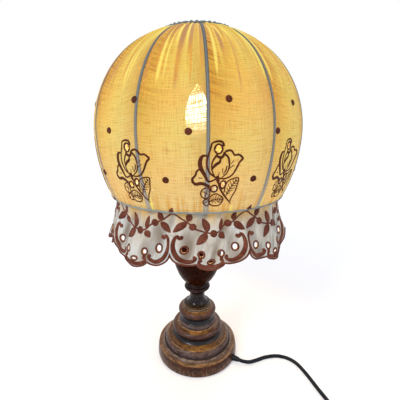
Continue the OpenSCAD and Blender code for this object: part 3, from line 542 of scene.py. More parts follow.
dark_plastic = grainy_finish(
    "dark_plastic", "#0f1317", "#1b2128", 0.34, 1100.0, 0.00015, Specular_IOR_Level=0.2)
felt = grainy_finish("green_felt", "#1f2a22", "#364438", 0.95, 1400.0, 0.0006)
filament_glow = grainy_finish(
    "filament_glow", "#ffd98a", "#ffe9b8", 0.4, 400.0, 0.0001,
    Emission_Color="#ffd489", Emission_Strength=20.0)
bulb_glow = grainy_finish("bulb_glow", "#fff1cf", "#fff8e6", 0.3, 200.0, 0.0001, Emission_Color="#fff4d8")
_, _, bulb_height = bulb_glow.object_place().split()
above_neck = bulb_height.spread(BULB_NECK, BULB_WIDE, 1.5, 30.0)
bulb_glow.set(Emission_Strength=above_neck * bulb_height.spread(BULB_SHOULDER, BULB_TIP, 1.0, 0.0))

CAD_FINISHES = [
    (felt, "felt_pad"),
    (steel, "threaded_tube", "foot_washer", "foot_nut", "holder_nut", "terminal_screws", "bulb_contact",
     "switch_screws"),
    (brass, "holder_cap", "holder_shell", "thread_sleeve", "centre_contact", "side_contact", "terminals",
     "seat_ring", "clamp_ring", "bulb_cap", "switch_contacts", "plug_pins"),
    (wire_grey, "fitter_ring", "fitter_arms", "top_ring", "bottom_ring", "frame_ribs"),
    (dark_plastic, "switch_base", "switch_cover", "switch_rocker", "cord_tie", "plug_body"),
    (cord_rubber, "cord_gland"),
    (wire_skin, "core_wires"),
    (ceramic, "holder_insert"),
    (black_glass, "bulb_insulator"),
    (bulb_glow, "bulb_glass"),
    (filament_glow, "bulb_filament")]
for look, *nodes in CAD_FINISHES:
    for node in nodes:
        dress(cad[node], look)

# Camera, at the photograph's place

CAMERA_PLACE = (0.0, -0.447, 0.3994)
CAMERA_DOWN = 14.83
CAMERA_LENS = 25.91
CAMERA_SENSOR = 36.0
CAMERA_SHIFT = 0.007

camera_data = bpy.data.cameras.new("camera")
camera_data.sensor_width = CAMERA_SENSOR
camera_data.lens = CAMERA_LENS
camera_data.shift_x = CAMERA_SHIFT
camera = new_object("camera", camera_data)
camera.location = CAMERA_PLACE
camera.rotation_euler = (math.radians(90 - CAMERA_DOWN), 0.0, 0.0)
bpy.context.scene.camera = camera

# Cord

CORD_D = 6.0
CORD_TURN = 61.0
CORD_HOLE_Z = 8.0
GLAND_SEAT = 58.0
GLAND_END = 81.0
INSIDE_GLAND = 2.0
COIL_X = 143.55
COIL_Y = -222.0
COIL_R = 27.0
COIL_PITCH = 6.6
COIL_HALF = 1170
COIL_STEP = 15
COIL_Z = 3.1
RUN_POINTS = [
    (76, -41.5, 7.5), (82, -42.3, 6.5), (87, -41.9, 5.5), (92, -40.3, 4.5), (104, -35, 3.1),
    (116, -30, 3.1), (128, -27, 3.1), (140, -26, 3.1), (152, -28.5, 3.1), (162, -34, 3.1),
    (170, -43, 3.1), (175.5, -55, 3.1), (180, -68, 3.1), (184, -82, 3.1), (188, -96, 3.2),
    (191, -108, 4.5), (192, -117, 6.2), (192, -125, 7), (192, -131, 7)]
COIL_START = [(192, -179, 7), (192, -186, 7), (192, -196, 6.2), (192, -206, 4.1), (192, -214, 3.1)]
COIL_END = [(95.1, -213, 8.25), (95.1, -205, 6.85), (95.1, -198, 6.85)]


def round_curve(name, places, radius, rounding):
    """A line of round section through places in metres; its radius is in millimetres."""
    curve = bpy.data.curves.new(name, "CURVE")
    curve.dimensions = "3D"
    curve.bevel_depth = radius * MM
    curve.bevel_resolution = rounding
    spline = curve.splines.new("POLY")
    spline.points.add(len(places) - 1)
    for point, place in zip(spline.points, places):
        point.co = (*place, 1.0)
    return new_object(name, curve)


def cord_curve(name, points):
    """A cord that follows the points, which are in millimetres."""
    line = flowing([(*p, 0.0) for p in points], 2.0)
    piece = round_curve(name, [(x * MM, y * MM, z * MM) for x, y, z, _ in line], CORD_D / 2, 4)
    piece.data.use_fill_caps = True
    piece.data.splines[0].use_smooth = True
    return piece


gland_in = tuple(around(GLAND_SEAT + INSIDE_GLAND, CORD_TURN, CORD_HOLE_Z) / MM)
gland_out = tuple(around(GLAND_END, CORD_TURN, CORD_HOLE_Z) / MM)
run = cord_curve("cord_to_switch", [gland_in, gland_out] + RUN_POINTS)
place_piece(run, "lamp", "cord_rubber", [cord_rubber], "cord_run")

turns = []
for turn in range(0, 2 * COIL_HALF + 1, COIL_STEP):
    coil_r = COIL_R + COIL_PITCH * abs(turn - COIL_HALF) / 360
    climb = min(1.0, max(0.0, (turn - COIL_HALF + 90) / 180))
    turns.append((
        COIL_X + coil_r * cosine(turn), COIL_Y - coil_r * sine(turn), COIL_Z + COIL_PITCH * climb))
coil = cord_curve("cord_coil_to_plug", COIL_START + turns + COIL_END)
place_piece(coil, "lamp", "cord_rubber", [cord_rubber], "cord_coil")

# Turned base

LATHE_STEPS = 144
SHORTEST_STEP = 0.02
SHARP_EDGE = 38.0
URN_R = 40.5
URN_Z = 195.0


def bow(start, end, bulge, steps=10):
    """Points of an arc from start to end that stands off its chord by bulge, to the right of the way."""
    chord = math.dist(start, end)
    along = ((end[0] - start[0]) / chord, (end[1] - start[1]) / chord)
    side = 1 if bulge > 0 else -1
    out = (along[1] * side, -along[0] * side)
    half = 2 * math.atan(2 * abs(bulge) / chord)
    arc_r = chord / 2 / math.sin(half)
    points = []
    for i in range(steps + 1):
        a = half * (2 * i / steps - 1)
        go = arc_r * math.sin(a)
        rise = arc_r * (math.cos(a) - math.cos(half))
        points.append((
            (start[0] + end[0]) / 2 + along[0] * go + out[0] * rise,
            (start[1] + end[1]) / 2 + along[1] * go + out[1] * rise))
    return points


def oval(centre_z, wide, tall, first, last, centre_r=0.0, steps=20):
    """Points of an oval beside the axis, from one angle to another."""
    angles = [first + (last - first) * i / steps for i in range(steps + 1)]
    return [(centre_r + wide * cosine(a), centre_z + tall * sine(a)) for a in angles]


def lathe(name, outline):
    """Turns a piece of wood: the outline is drawn point by point beside the axis and spun round it."""
    line = [outline[0]]
    for point in outline[1:]:
        if math.dist(point, line[-1]) > SHORTEST_STEP:
            line.append(point)
    deselect_all()
    bpy.ops.mesh.primitive_circle_add(vertices=3, radius=0.5 * MM)
    piece = bpy.context.object
    piece.name = name
    bpy.ops.object.mode_set(mode="EDIT")
    bpy.ops.mesh.select_all(action="SELECT")
    bpy.ops.mesh.merge(type="CENTER")
    bpy.ops.transform.translate(value=(line[0][0] * MM, 0.0, line[0][1] * MM))
    for here, there in zip(line, line[1:]):
        step = ((there[0] - here[0]) * MM, 0.0, (there[1] - here[1]) * MM)
        bpy.ops.mesh.extrude_vertices_move(TRANSFORM_OT_translate={"value": step})
    bpy.ops.mesh.select_all(action="SELECT")
    bpy.ops.mesh.spin(steps=LATHE_STEPS, angle=2 * math.pi, center=(0, 0, 0), axis=(0, 0, 1))
    bpy.ops.mesh.select_all(action="SELECT")
    bpy.ops.mesh.remove_doubles(threshold=0.000005)
    bpy.ops.mesh.normals_make_consistent(inside=False)
    bpy.ops.object.mode_set(mode="OBJECT")
    bpy.ops.object.shade_smooth_by_angle(angle=math.radians(SHARP_EDGE))
    return piece


foot_line = (
    [(0, 1.5), (69.3, 1.5)] + bow((70.5, 2.7), (68.6, 20.5), 0.7)
    + bow((67.6, 20.9), (60.1, 24.6), -1.2) + bow((59.5, 24.8), (57.5, 25.8), 0.6, 5)
    + bow((57.2, 26.2), (52.95, 35.7), 1.3) + [(52.15, 36.0), (43.4, 39.3), (0, 39.3)])
collar_line = (
    [(0, 39.3), (42.8, 39.3)] + bow((42.6, 39.6), (41.5, 48.3), -1.9)
    + bow((41.5, 48.3), (36, 59), 4.2, 14) + [(32.5, 59.7)]
    + bow((32.1, 60.1), (29.6, 66.1), 1.6) + bow((29.4, 66.3), (29, 78), -2.2)
    + bow((29, 78), (26, 90), 5.2, 14) + bow((25.2, 90.8), (23.7, 93.6), 0.7, 6)
    + bow((23.4, 93.8), (22.7, 96.8), 0.6, 6) + [(0, 96.8)])
stem_line = (
    [(0, 96.8)] + oval(110.7, 9.6, 13.9, 270, 180, 22.7, 14)
    + bow((13.1, 110.7), (17, 124), -1.2) + bow((19, 124.3), (19.6, 131.1), 2.9, 12)
    + [(18.6, 131.5)] + bow((19, 131.9), (19, 134.9), 1.5, 8)
    + [(18.5, 135.5), (18.5, 136.5), (0, 136.5)])
low_angle = math.degrees(math.acos(18.5 / URN_R))
high_angle = math.degrees(math.acos(18.0 / URN_R))
urn_line = (
    [(0, 136.5)] + oval(URN_Z, URN_R, 58.5 / sine(low_angle), -low_angle, 0)
    + oval(URN_Z, URN_R, 44.8 / sine(high_angle), 0, high_angle) + [(0, 239.8)])
neck_line = (
    [(0, 239.8), (18, 239.8)] + bow((18, 240.6), (18, 246.6), 2.4)
    + bow((17, 247.2), (12.5, 269.8), -2.2) + bow((12.5, 269.8), (15.5, 307), -1.4)
    + bow((16.5, 307.4), (16.5, 311.4), 1.8, 6) + [(18.5, 312)]
    + bow((19.5, 313), (19.5, 321), 0.4, 4) + [(18.5, 322), (0, 322)])
TURNED = [
    ("turned_foot", foot_line, "foot_wood", foot_wood, "foot"),
    ("turned_collar", collar_line, "dark_wood", collar_wood, "collar"),
    ("turned_stem", stem_line, "dark_wood", dark_wood, "stem"),
    ("turned_urn", urn_line, "dark_wood", urn_wood, "urn"),
    ("turned_neck", neck_line, "dark_wood", dark_wood, "neck")]
for name, outline, slot, look, node in TURNED:
    place_piece(lathe(name, outline), "lamp", slot, [look], node)

# Shade cover

COLUMNS_A_GORE = 60
COVER_COLUMNS = COLUMNS_A_GORE * RIB_COUNT
LOWER_ROWS = 14
UPPER_ROWS = 36
COVER_DEEP = 0.271
TOP_RISE = math.degrees(math.asin((TOP_Z - WIDE_Z) / UPPER_ARC))
BOTTOM_RISE = -math.degrees(math.asin((WIDE_Z - BOTTOM_Z) / LOWER_ARC))
TOP_GATHER = 1.5
BOTTOM_GATHER = 0.55
RIB_RIDGE = 0.7
RIB_RIDGE_W = 1.6
PAINTED_CREASES_A_GORE = 12

# Heights where the gathers start and are full, and where the painted crease lines start
TOP_GATHER_FROM = 428
TOP_GATHER_FULL = 506
LOW_GATHER_FROM = 332
TOP_PAINTED_CREASE_FROM = 420
LOW_PAINTED_CREASE_FROM = 335

# Which part of the drawing by lot the gathers and the painted crease lines take
TOP_GATHER_LOT = 1
LOW_GATHER_LOT = 5
TOP_PAINTED_CREASE_LOT = 2
LOW_PAINTED_CREASE_LOT = 9


def chance(first, second, third=0):
    """A share from 0 to 1 that looks drawn by lot, and is the same each time."""
    return math.sin(12.9898 * (first + 1) + 78.233 * second + 37.719 * third) * 43758.5453 % 1.0


def gore_at(turn):
    """Number of the gore at a turn, and the share of the way across it."""
    gore = (turn - RIB_TURN) / GORE_STEP
    whole = math.floor(gore + 1e-9)
    return whole % RIB_COUNT, gore - whole


def gather_wave(turn, counts, lot):
    """An uneven ripple across each gore, still at the ribs, from about -1 to 1."""
    index, across = gore_at(turn)
    wave = 0.0
    for k, count in enumerate(counts):
        wave += math.cos(2 * math.pi * (count * across + chance(index, k + lot))) / (1 + 0.55 * k)
    return wave * min(1.0, 6 * across * (1 - across)) / 1.65


def painted_crease_shades(turn, lot, reached, dark_share):
    """Painted shade and light lines for narrow creases across a gore, each with its own place, width and
    length, from where reached is 1; a share dark_share of them are dark.
    """
    index, across = gore_at(turn)
    total = 0.0
    for k in range(PAINTED_CREASES_A_GORE):
        middle = 0.05 + 0.9 * chance(index, k, lot)
        width = 0.008 + 0.024 * chance(index, k, lot + 1)
        end = 0.7 * chance(index, k, lot + 2)
        way = -1 if chance(index, k, lot + 3) < dark_share else 1
        total += way * math.exp(-((across - middle) / width) ** 2) * smooth_step(end, end + 0.35, reached)
    return total


def rib_distance(turn, radius):
    """How far a place is from the nearest rib, along the cloth."""
    off_rib = (turn - RIB_TURN) % GORE_STEP
    return math.radians(min(off_rib, GORE_STEP - off_rib)) * radius


def cover_shape(turn, rise):
    """Radius and height on the cover at a turn and a rise, the angle of its way out, and the painted shade of
    its gathers there.
    """
    arc = UPPER_ARC if rise > 0 else LOWER_ARC
    a = math.radians(rise)
    radius = SHADE_R - arc + arc * math.cos(a)
    height = WIDE_Z + arc * math.sin(a)
    limit = TOP_RISE if rise > 0 else -BOTTOM_RISE
    sag = PANEL_SAG * (1 - cosine(RIB_COUNT * (turn - RIB_TURN))) / 2
    radius -= sag * cosine(90 * min(1.0, abs(rise) / limit))
    top = smooth_step(TOP_GATHER_FROM, TOP_GATHER_FULL, height)
    low = 1 - smooth_step(BOTTOM_Z, LOW_GATHER_FROM, height)
    top_wave = gather_wave(turn, (5, 8, 3), TOP_GATHER_LOT)
    low_wave = gather_wave(turn, (4, 7), LOW_GATHER_LOT)
    fold = 0.5 * top * top_wave + 0.15 * low * low_wave
    out = TOP_GATHER * top * top * top_wave + BOTTOM_GATHER * low * low_wave
    out += RIB_RIDGE * math.exp(-(rib_distance(turn, radius) / RIB_RIDGE_W) ** 2)
    return radius + out * math.cos(a), height + out * math.sin(a), a, fold


def on_cover(turn, height, lift):
    """A place on the cover at a height, lifted off it, all in millimetres."""
    arc = UPPER_ARC if height > WIDE_Z else LOWER_ARC
    rise = math.degrees(math.asin(max(-1.0, min(1.0, (height - WIDE_Z) / arc))))
    radius, z, a, _ = cover_shape(turn, rise)
    return around(radius + lift * math.cos(a), turn, z + lift * math.sin(a))


def cloth_grid(name, turns, rows, shape, uv_scale):
    """A closed ring of cloth: shape gives places and attributes, and a UV map has metres along the cloth."""
    points = []
    values = []
    for row in rows:
        for turn in turns:
            place, extra = shape(turn, row)
            points.append(place)
            values.append(extra)
    count = len(turns)
    piece = mesh_piece(name, points, ring_faces(len(rows), count))
    mesh = piece.data
    for key in values[0]:
        set_attribute(mesh, key, [v[key] for v in values])
    layer = mesh.uv_layers.new(name="cloth")
    for polygon in mesh.polygons:
        i = polygon.index % count
        j = polygon.index // count
        for loop, (across, up) in zip(polygon.loop_indices, ((0, 0), (1, 0), (1, 1), (0, 1))):
            turned = turns[i + across] if i + across < count else turns[0] + 360
            layer.data[loop].uv = ((turned - turns[0]) * uv_scale[0], (j + up) * uv_scale[1])
    pick(piece)
    bpy.ops.object.shade_smooth()
    return piece


def cover_vertex(turn, rise):
    radius, height, _, fold = cover_shape(turn, rise)
    top_reached = (height - TOP_PAINTED_CREASE_FROM) / (TOP_Z - TOP_PAINTED_CREASE_FROM)
    low_reached = (LOW_PAINTED_CREASE_FROM - height) / (LOW_PAINTED_CREASE_FROM - BOTTOM_Z)
    # Painted crease lines go only into fold; they don't move the cloth
    fold += 1.1 * painted_crease_shades(turn, TOP_PAINTED_CREASE_LOT, top_reached, 0.62)
    fold += 0.6 * painted_crease_shades(turn, LOW_PAINTED_CREASE_LOT, low_reached, 0.88)
    gore = (turn - RIB_TURN) % GORE_STEP / GORE_STEP
    return around(radius, turn, height), {"rib_gap": rib_distance(turn, radius), "fold": fold, "gore": gore}


cover_turns = []
for i in range(COVER_COLUMNS):
    whole, part = divmod(i / COLUMNS_A_GORE, 1.0)
    nearer_ribs = part - 0.08 * math.sin(2 * math.pi * part)
    cover_turns.append(RIB_TURN + 180 + (whole + nearer_ribs) * 360 / RIB_COUNT)
cover_rises = [BOTTOM_RISE * (1 - j / LOWER_ROWS) for j in range(LOWER_ROWS)]
cover_rises += [TOP_RISE * j / UPPER_ROWS for j in range(UPPER_ROWS + 1)]
cover_step = (math.radians(SHADE_R * MM), COVER_DEEP / (len(cover_rises) - 1))
cover = cloth_grid("shade_cover_cloth", cover_turns, cover_rises, cover_vertex, cover_step)

EYELET_SIDES = 18
CUTTER_DEEP = 12.0


def thicken(piece, thickness):
    """Gives a sheet its thickness inwards; the inner side gets the second finish."""
    apply_modifier(
        piece, "SOLIDIFY", thickness=thickness * MM, offset=-1.0, material_offset=1, material_offset_rim=1)


def pierce(piece, eyes, lay):
    """Cuts a motif's eyelets through a cloth, on which lay gives the places."""
    deselect_all()
    cutters = []
    for k in range(SCALLOPS):
        for x, y, wide, tall, _ in eyes:
            place = lay(x, y, 0.0, k)
            out = (lay(x, y, 4.0, k) - place).normalized()
            bpy.ops.mesh.primitive_cylinder_add(vertices=EYELET_SIDES, radius=1.0, depth=1.0)
            cutter = bpy.context.object
            cutter.scale = (wide * MM, tall * MM, CUTTER_DEEP * MM)
            cutter.rotation_mode = "QUATERNION"
            cutter.rotation_quaternion = out.to_track_quat("Z", "Y")
            cutter.location = place
            cutters.append(cutter)
    bpy.context.view_layer.update()
    for cutter in cutters:
        cutter.select_set(True)
    bpy.context.view_layer.objects.active = cutters[0]
    bpy.ops.object.join()
    joined = bpy.context.object
    bpy.ops.object.transform_apply(location=True, rotation=True, scale=True)
    apply_modifier(piece, "BOOLEAN", operation="DIFFERENCE", object=joined, solver="EXACT")
    bpy.data.objects.remove(joined)


# Embroidery. Strokes are drawn flat, in millimetres, with half their width as the third number.
# An eyelet has its place, its two radii and the tilt of the stitches round it.

STITCH = 1.3
STITCH_HEIGHT = 0.85
STITCH_SINK = 0.1
STRIP_POINTS = 7
DISC_STEPS = 10
RING_STEPS = 18


def stroke(points, *widths):
    """A line of stitches whose half width runs through the given ones from end to end."""
    drawn = []
    for i, (x, y) in enumerate(points):
        at = i / (len(points) - 1) * (len(widths) - 1)
        low = min(int(at), len(widths) - 2)
        drawn.append((x, y, widths[low] + (widths[low + 1] - widths[low]) * (at - low)))
    return flowing(drawn, STITCH)


def leaf(points, half):
    """A leaf worked in satin stitch along its middle line."""
    middle = flowing([(*p, 0.0) for p in points], STITCH)
    last = len(middle) - 1
    widths = [0.25 + 1.06 * half * math.sin(math.pi * (i / last) ** 0.8) ** 1.05 for i in range(last + 1)]
    return [(x, y, width) for (x, y, _), width in zip(middle, widths)]


def disc(x, y, r):
    """A dot, worked in stitches across it."""
    angles = [180 * i / DISC_STEPS for i in range(DISC_STEPS + 1)]
    return [(x - r * cosine(a), y, max(0.05, r * sine(a))) for a in angles]


def ring(x, y, wide, tall, tilt, half):
    """The line of stitches round an eyelet."""
    points = []
    for i in range(RING_STEPS + 1):
        a = 360 * i / RING_STEPS
        u = (wide + half) * cosine(a)
        v = (tall + half) * sine(a)
        points.append((x + u * cosine(tilt) - v * sine(tilt), y + u * sine(tilt) + v * cosine(tilt), half))
    return points


def chevrons(middle, count, half, lean):
    """Short veins on both sides of a leaf's middle line."""
    line = flowing([(*p, 0.0) for p in middle], 0.5)
    strokes = []
    for k in range(1, count + 1):
        i = round(k / (count + 1) * (len(line) - 2))
        x, y, _ = line[i]
        dx = line[i + 1][0] - x
        dy = line[i + 1][1] - y
        size = math.hypot(dx, dy)
        dx /= size
        dy /= size
        reach = half * math.sin(math.pi * k / (count + 1)) ** 0.6
        for side in (-1, 1):
            end = (x + reach * (lean * dx - side * dy), y + reach * (lean * dy + side * dx))
            strokes.append(stroke([(x, y), end], 0.5, 0.4))
    return strokes


FLOWER_EYES = [(3.9, 64.4, 3.1, 3.8, 0), (1.0, 21.0, 2.7, 2.9, 0), (10.7, 25.3, 2.2, 3.5, -12)]
SIDE_VEIN = [(15.8, 12.0), (21.4, 23.0), (27.1, 30.4)]
LOW_VEIN = [(-3.4, 5.0), (4.9, 8.1), (12.4, 7.0)]
FLOWER = [
    stroke([(-3.1, 70.3), (-4.6, 63.6), (-6.9, 56.8), (-7.8, 49.9), (-6.6, 43.7), (-3.5, 38.2), (0.6, 34.9),
            (3.6, 33.0)], 0.9, 1.0, 1.0, 0.9),
    stroke([(-3.1, 70.3), (0.5, 71.8), (5.3, 72.1), (8.3, 70.4), (9.0, 66.9)], 0.9, 1.2, 1.3),
    stroke([(1.2, 58.8), (4.2, 56.0), (8.2, 56.0), (10.3, 61.3)], 1.0, 1.7, 1.1),
    stroke([(1.9, 57.6), (-1.5, 52.5), (-2.7, 47.2), (-1.9, 40.9), (0.8, 34.9)], 1.1, 0.8, 0.7),
    stroke([(6.4, 54.6), (5.3, 50.6), (2.0, 48.4), (-0.8, 45.4), (-2.2, 42.8)], 0.8, 1.7, 1.6, 0.7),
    stroke([(10.4, 59.2), (14.5, 55.2), (16.0, 49.4), (16.1, 44.9), (14.0, 38.6), (8.6, 33.6)],
           1.1, 1.1, 0.9, 0.6),
    stroke([(10.7, 61.3), (14.9, 62.7), (18.4, 61.6), (21.3, 57.6), (25.8, 57.9), (29.2, 56.0), (31.0, 53.3),
            (27.9, 49.8), (24.5, 42.7), (21.4, 37.4), (17.2, 33.8), (11.0, 32.2), (5.2, 33.2)],
           1.2, 1.1, 1.3, 1.0, 0.9),
    stroke([(20.9, 51.5), (18.0, 48.4)], 0.5, 0.45),
    stroke([(21.3, 47.0), (15.8, 42.4)], 0.5, 0.45),
    stroke([(13.6, 46.5), (12.6, 41.5), (9.8, 37.0)], 0.6, 0.8, 0.4),
    stroke([(9.2, 43.8), (9.0, 38.8)], 0.5, 0.4),
    stroke([(5.4, 40.0), (5.2, 35.5)], 0.45, 0.4),
    stroke([(-8.0, 57.7), (-11.8, 57.3), (-13.8, 54.3), (-14.6, 49.9), (-14.0, 45.5), (-12.0, 41.0),
            (-9.4, 36.4), (-6.6, 30.8), (-3.4, 29.6), (3.2, 32.6)], 0.9, 1.9, 2.3, 2.0, 1.2, 0.9),
    stroke([(-14.6, 43.8), (-17.9, 40.6), (-19.2, 36.5), (-22.2, 32.7), (-21.9, 29.0), (-18.8, 26.4),
            (-13.6, 27.4), (-8.2, 25.8), (-3.6, 23.4)], 1.0, 1.1, 1.3, 1.7, 2.0, 1.3),
    stroke([(-16.2, 33.7), (-11.9, 33.2)], 0.5, 0.4),
    stroke([(3.9, 36.0), (4.6, 31.0), (5.6, 27.0)], 1.4, 2.0, 1.1),
    stroke([(5.2, 28.6), (8.5, 19.7), (14.3, 11.3), (23.3, 1.0)], 1.2, 1.1, 1.2, 0.5),
    stroke([(13.2, 16.0), (13.6, 22.5), (15.6, 28.2), (21.2, 31.5), (28.4, 31.8), (28.1, 24.5), (26.4, 16.6),
            (23.5, 10.6), (21.8, 4.0)], 0.75, 0.8, 0.75),
    stroke(SIDE_VEIN, 0.6, 0.55),
    stroke([(13.0, 6.6), (10.6, 1.9), (5.9, -0.4), (-0.2, 0.2), (-4.0, 4.6), (-1.7, 12.2), (4.3, 14.6),
            (10.4, 11.0), (13.6, 7.2)], 0.75, 0.8, 0.75),
    stroke(LOW_VEIN, 0.6, 0.55),
    stroke([(-4.5, 22.6), (-10.2, 21.4), (-13.4, 16.6), (-12.2, 11.4), (-8.6, 9.5), (-4.4, 11.3),
            (-3.2, 16.0), (-4.5, 22.0)], 0.75, 0.75),
    stroke([(-4.5, 9.6), (-9.7, 7.0), (-10.2, 2.8), (-6.2, 0.2), (-3.2, 2.6), (-4.0, 8.6)], 0.75, 0.75),
    stroke([(-11.5, 17.8), (-5.2, 14.8)], 0.5, 0.45),
    stroke([(-8.6, 10.2), (-6.4, 20.8)], 0.5, 0.45),
    stroke([(-9.0, 3.2), (-5.0, 7.6)], 0.5, 0.45),
    disc(14.8, 114.0, 3.8),
    disc(-25.9, 82.0, 3.8),
    disc(47.0, 30.0, 3.8)]
FLOWER += chevrons(SIDE_VEIN, 6, 5.0, 0.75)
FLOWER += chevrons(LOW_VEIN, 6, 4.9, 0.65)
FLOWER += [ring(*eye, 1.0) for eye in FLOWER_EYES]

VINE_EYES = [
    (-30.9, 48.6, 3.3, 3.3, 0), (-11.2, 53.2, 2.5, 2.7, 0), (12.4, 53.0, 2.5, 2.7, 0),
    (31.0, 46.8, 3.1, 3.6, 10), (0.0, 62.4, 3.3, 1.3, -12)]
SIDE_HEM = [
    (33.6, 32.6), (35.2, 35.0), (37.8, 33.8), (38.8, 31.0), (41.6, 33.0), (43.2, 38.0), (43.3, 43.8),
    (41.7, 49.9), (38.9, 55.4), (34.7, 59.9), (29.6, 62.5), (24.0, 62.7), (19.6, 60.8), (17.4, 57.6),
    (19.8, 56.4)]
SIDE_WIDTHS = (0.9, 1.5, 1.7, 2.2, 2.45, 2.6, 2.6, 2.4, 1.8, 1.1)
HALF_HEM = [(-13.0, 57.4), (-11.4, 60.2), (-13.8, 61.6), (-13.7, 64.1), (-10.9, 66.3), (-5.3, 67.6)]
MIDDLE_HEM = HALF_HEM + [(0, 67.9)] + [(-x, y) for x, y in reversed(HALF_HEM)]
HEM_DOTS = [(34.6, 33.4, 2.5), (18.9, 57.4, 2.3), (12.6, 58.0, 2.2)]
VINE = [
    stroke(SIDE_HEM, *SIDE_WIDTHS),
    stroke([(-x, y) for x, y in SIDE_HEM], *SIDE_WIDTHS),
    stroke(MIDDLE_HEM, 1.4, 1.9, 2.2, 2.2, 1.9, 1.4)]
VINE += [disc(side * x, y, r) for x, y, r in HEM_DOTS for side in (1, -1)]
VINE += [
    stroke([(-46, 3.6), (-40, 6.2), (-34.7, 10.4), (-27.8, 14.6), (-21.2, 20.6), (-17.5, 23.6), (-7.4, 26.5),
            (-3.3, 27.3), (4.3, 28.3), (12.0, 26.1), (18.6, 19.8), (23.4, 17.4), (30.3, 14.7), (37.2, 10.4),
            (46, 3.6)], 1.0, 1.05, 1.0),
    disc(-21.2, 20.6, 4.6),
    disc(4.3, 28.3, 4.6),
    disc(23.4, 17.4, 4.6),
    leaf([(-28.1, 15.6), (-36.0, 19.7), (-44.3, 26.1)], 4.2),
    leaf([(-27.1, 13.6), (-25.4, 8.1), (-24.7, 1.6)], 3.7),
    leaf([(-4.0, 26.6), (-4.6, 19.0), (-9.3, 9.7)], 4.2),
    leaf([(-4.0, 27.9), (-9.4, 34.7), (-16.8, 41.5)], 4.4),
    leaf([(12.7, 24.8), (14.3, 16.6), (15.5, 9.9)], 2.4),
    leaf([(12.3, 27.5), (14.8, 31.9), (18.3, 35.4)], 3.9),
    leaf([(30.4, 14.0), (31.3, 7.9), (31.5, 1.7)], 3.7),
    leaf([(30.7, 16.2), (37.6, 21.2), (45.2, 26.6)], 4.2),
    leaf([(45.4, 4.4), (46.8, 0.0), (49.0, -5.6)], 2.5)]
VINE += [ring(*eye, 1.15) for eye in VINE_EYES]


def raised_strip(line):
    """A line of satin stitches as flat places, each with its height, its way along and its share across."""
    places = []
    along = 0.0
    for i, (x, y, half) in enumerate(line):
        before = line[max(0, i - 1)]
        after = line[min(len(line) - 1, i + 1)]
        size = math.dist(before[:2], after[:2]) or 1.0
        side = (-(after[1] - before[1]) / size, (after[0] - before[0]) / size)
        along += math.dist(before[:2], (x, y))
        top = STITCH_HEIGHT * math.tanh(half / 1.2)
        for k in range(STRIP_POINTS):
            angle = math.pi * k / (STRIP_POINTS - 1)
            across = math.cos(angle)
            height = top * math.sin(angle) ** 0.8 - 0.12
            places.append((x + side[0] * half * across, y + side[1] * half * across, height, along, across))
        places.append((x, y, -0.3, along, 0.0))
    ring_size = STRIP_POINTS + 1
    faces = ring_faces(len(line), ring_size)
    faces.append(tuple(range(ring_size - 1, -1, -1)))
    faces.append(tuple(range((len(line) - 1) * ring_size, len(line) * ring_size)))
    return places, faces


def embroider(name, strokes, lay):
    """Works a motif's stitches flat, and lays a copy on the cloth over each scallop."""
    flat = []
    flat_faces = []
    for line in strokes:
        places, strip_faces = raised_strip(line)
        flat_faces += [tuple(v + len(flat) for v in face) for face in strip_faces]
        flat += places
    points = []
    faces = []
    for k in range(SCALLOPS):
        faces += [tuple(v + len(points) for v in face) for face in flat_faces]
        points += [lay(x, y, height, k) for x, y, height, _, _ in flat]
    piece = mesh_piece(name, points, faces)
    for key, column in (("along", 3), ("across", 4)):
        set_attribute(piece.data, key, [p[column] for p in flat] * SCALLOPS)
    pick(piece)
    bpy.ops.object.mode_set(mode="EDIT")
    bpy.ops.mesh.select_all(action="SELECT")
    bpy.ops.mesh.normals_make_consistent(inside=False)
    bpy.ops.object.mode_set(mode="OBJECT")
    bpy.ops.object.shade_smooth()
    return piece


FLOWER_FOOT_Z = 310.0
FLOWER_MM_A_DEGREE = 2.47


def on_flower(x, y, lift, k):
    turn = SCALLOP_TURN + SCALLOP_STEP * k + x / FLOWER_MM_A_DEGREE
    return on_cover(turn, FLOWER_FOOT_Z + y, lift + STITCH_SINK)


# Skirt

SKIRT_COLUMNS = 64 * SCALLOPS
SKIRT_ROWS = 34
SKIRT_DEEP = 0.066
VINE_MM_A_DEGREE = 2.3
VINE_SCALE = 0.957
PIPING_TOP_DROP = -0.6
PIPING_STAND_OFF = 3.5


def hang(turn):
    """Share by which the skirt hangs longer at a turn of its cloth."""
    return 1 + SKIRT_HANG * sine(2 * turn) ** 2


def skirt_length(turn):
    """Length of the skirt at a turn of its cloth: each scallop has a middle lobe between two side lobes."""
    half_step = SCALLOP_STEP / 2
    off = abs((turn + 720 + half_step) % SCALLOP_STEP - half_step) / half_step
    if off < CREASE_AT:
        lobe = (SKIRT_LONG - SKIRT_CREASE) * math.sqrt(1 - (off / CREASE_AT) ** 2)
        return hang(turn) * (SKIRT_CREASE + lobe)
    at_crease = math.sqrt(1 - ((CREASE_AT - LOBE_AT) / (1 - LOBE_AT)) ** 2)
    here = math.sqrt(max(0.0, 1 - ((off - LOBE_AT) / (1 - LOBE_AT)) ** 2))
    return hang(turn) * (SKIRT_NOTCH + (SKIRT_CREASE - SKIRT_NOTCH) * here / at_crease)


def skirt_fold(turn):
    return 0.7 * cosine(SCALLOPS * turn) + cosine(2 * SCALLOPS * turn)


def crumple(turn, drop):
    """Creases of the hanging cloth that lean both ways, in millimetres."""
    lean = turn + 0.22 * drop
    back = turn - 0.16 * drop
    bend = 50 * sine(5 * turn)
    soft = sine(21 * lean + bend) + 0.8 * sine(29 * back + 110)
    fine = sine(47 * lean + 1.4 * bend) * (0.5 + 0.5 * sine(7 * turn + 1.8 * drop))
    sharp = abs(sine(9 * lean + 20)) ** 6 - 0.3
    return (0.6 * soft + 0.55 * fine + sharp) * smooth_step(2, 20, drop)


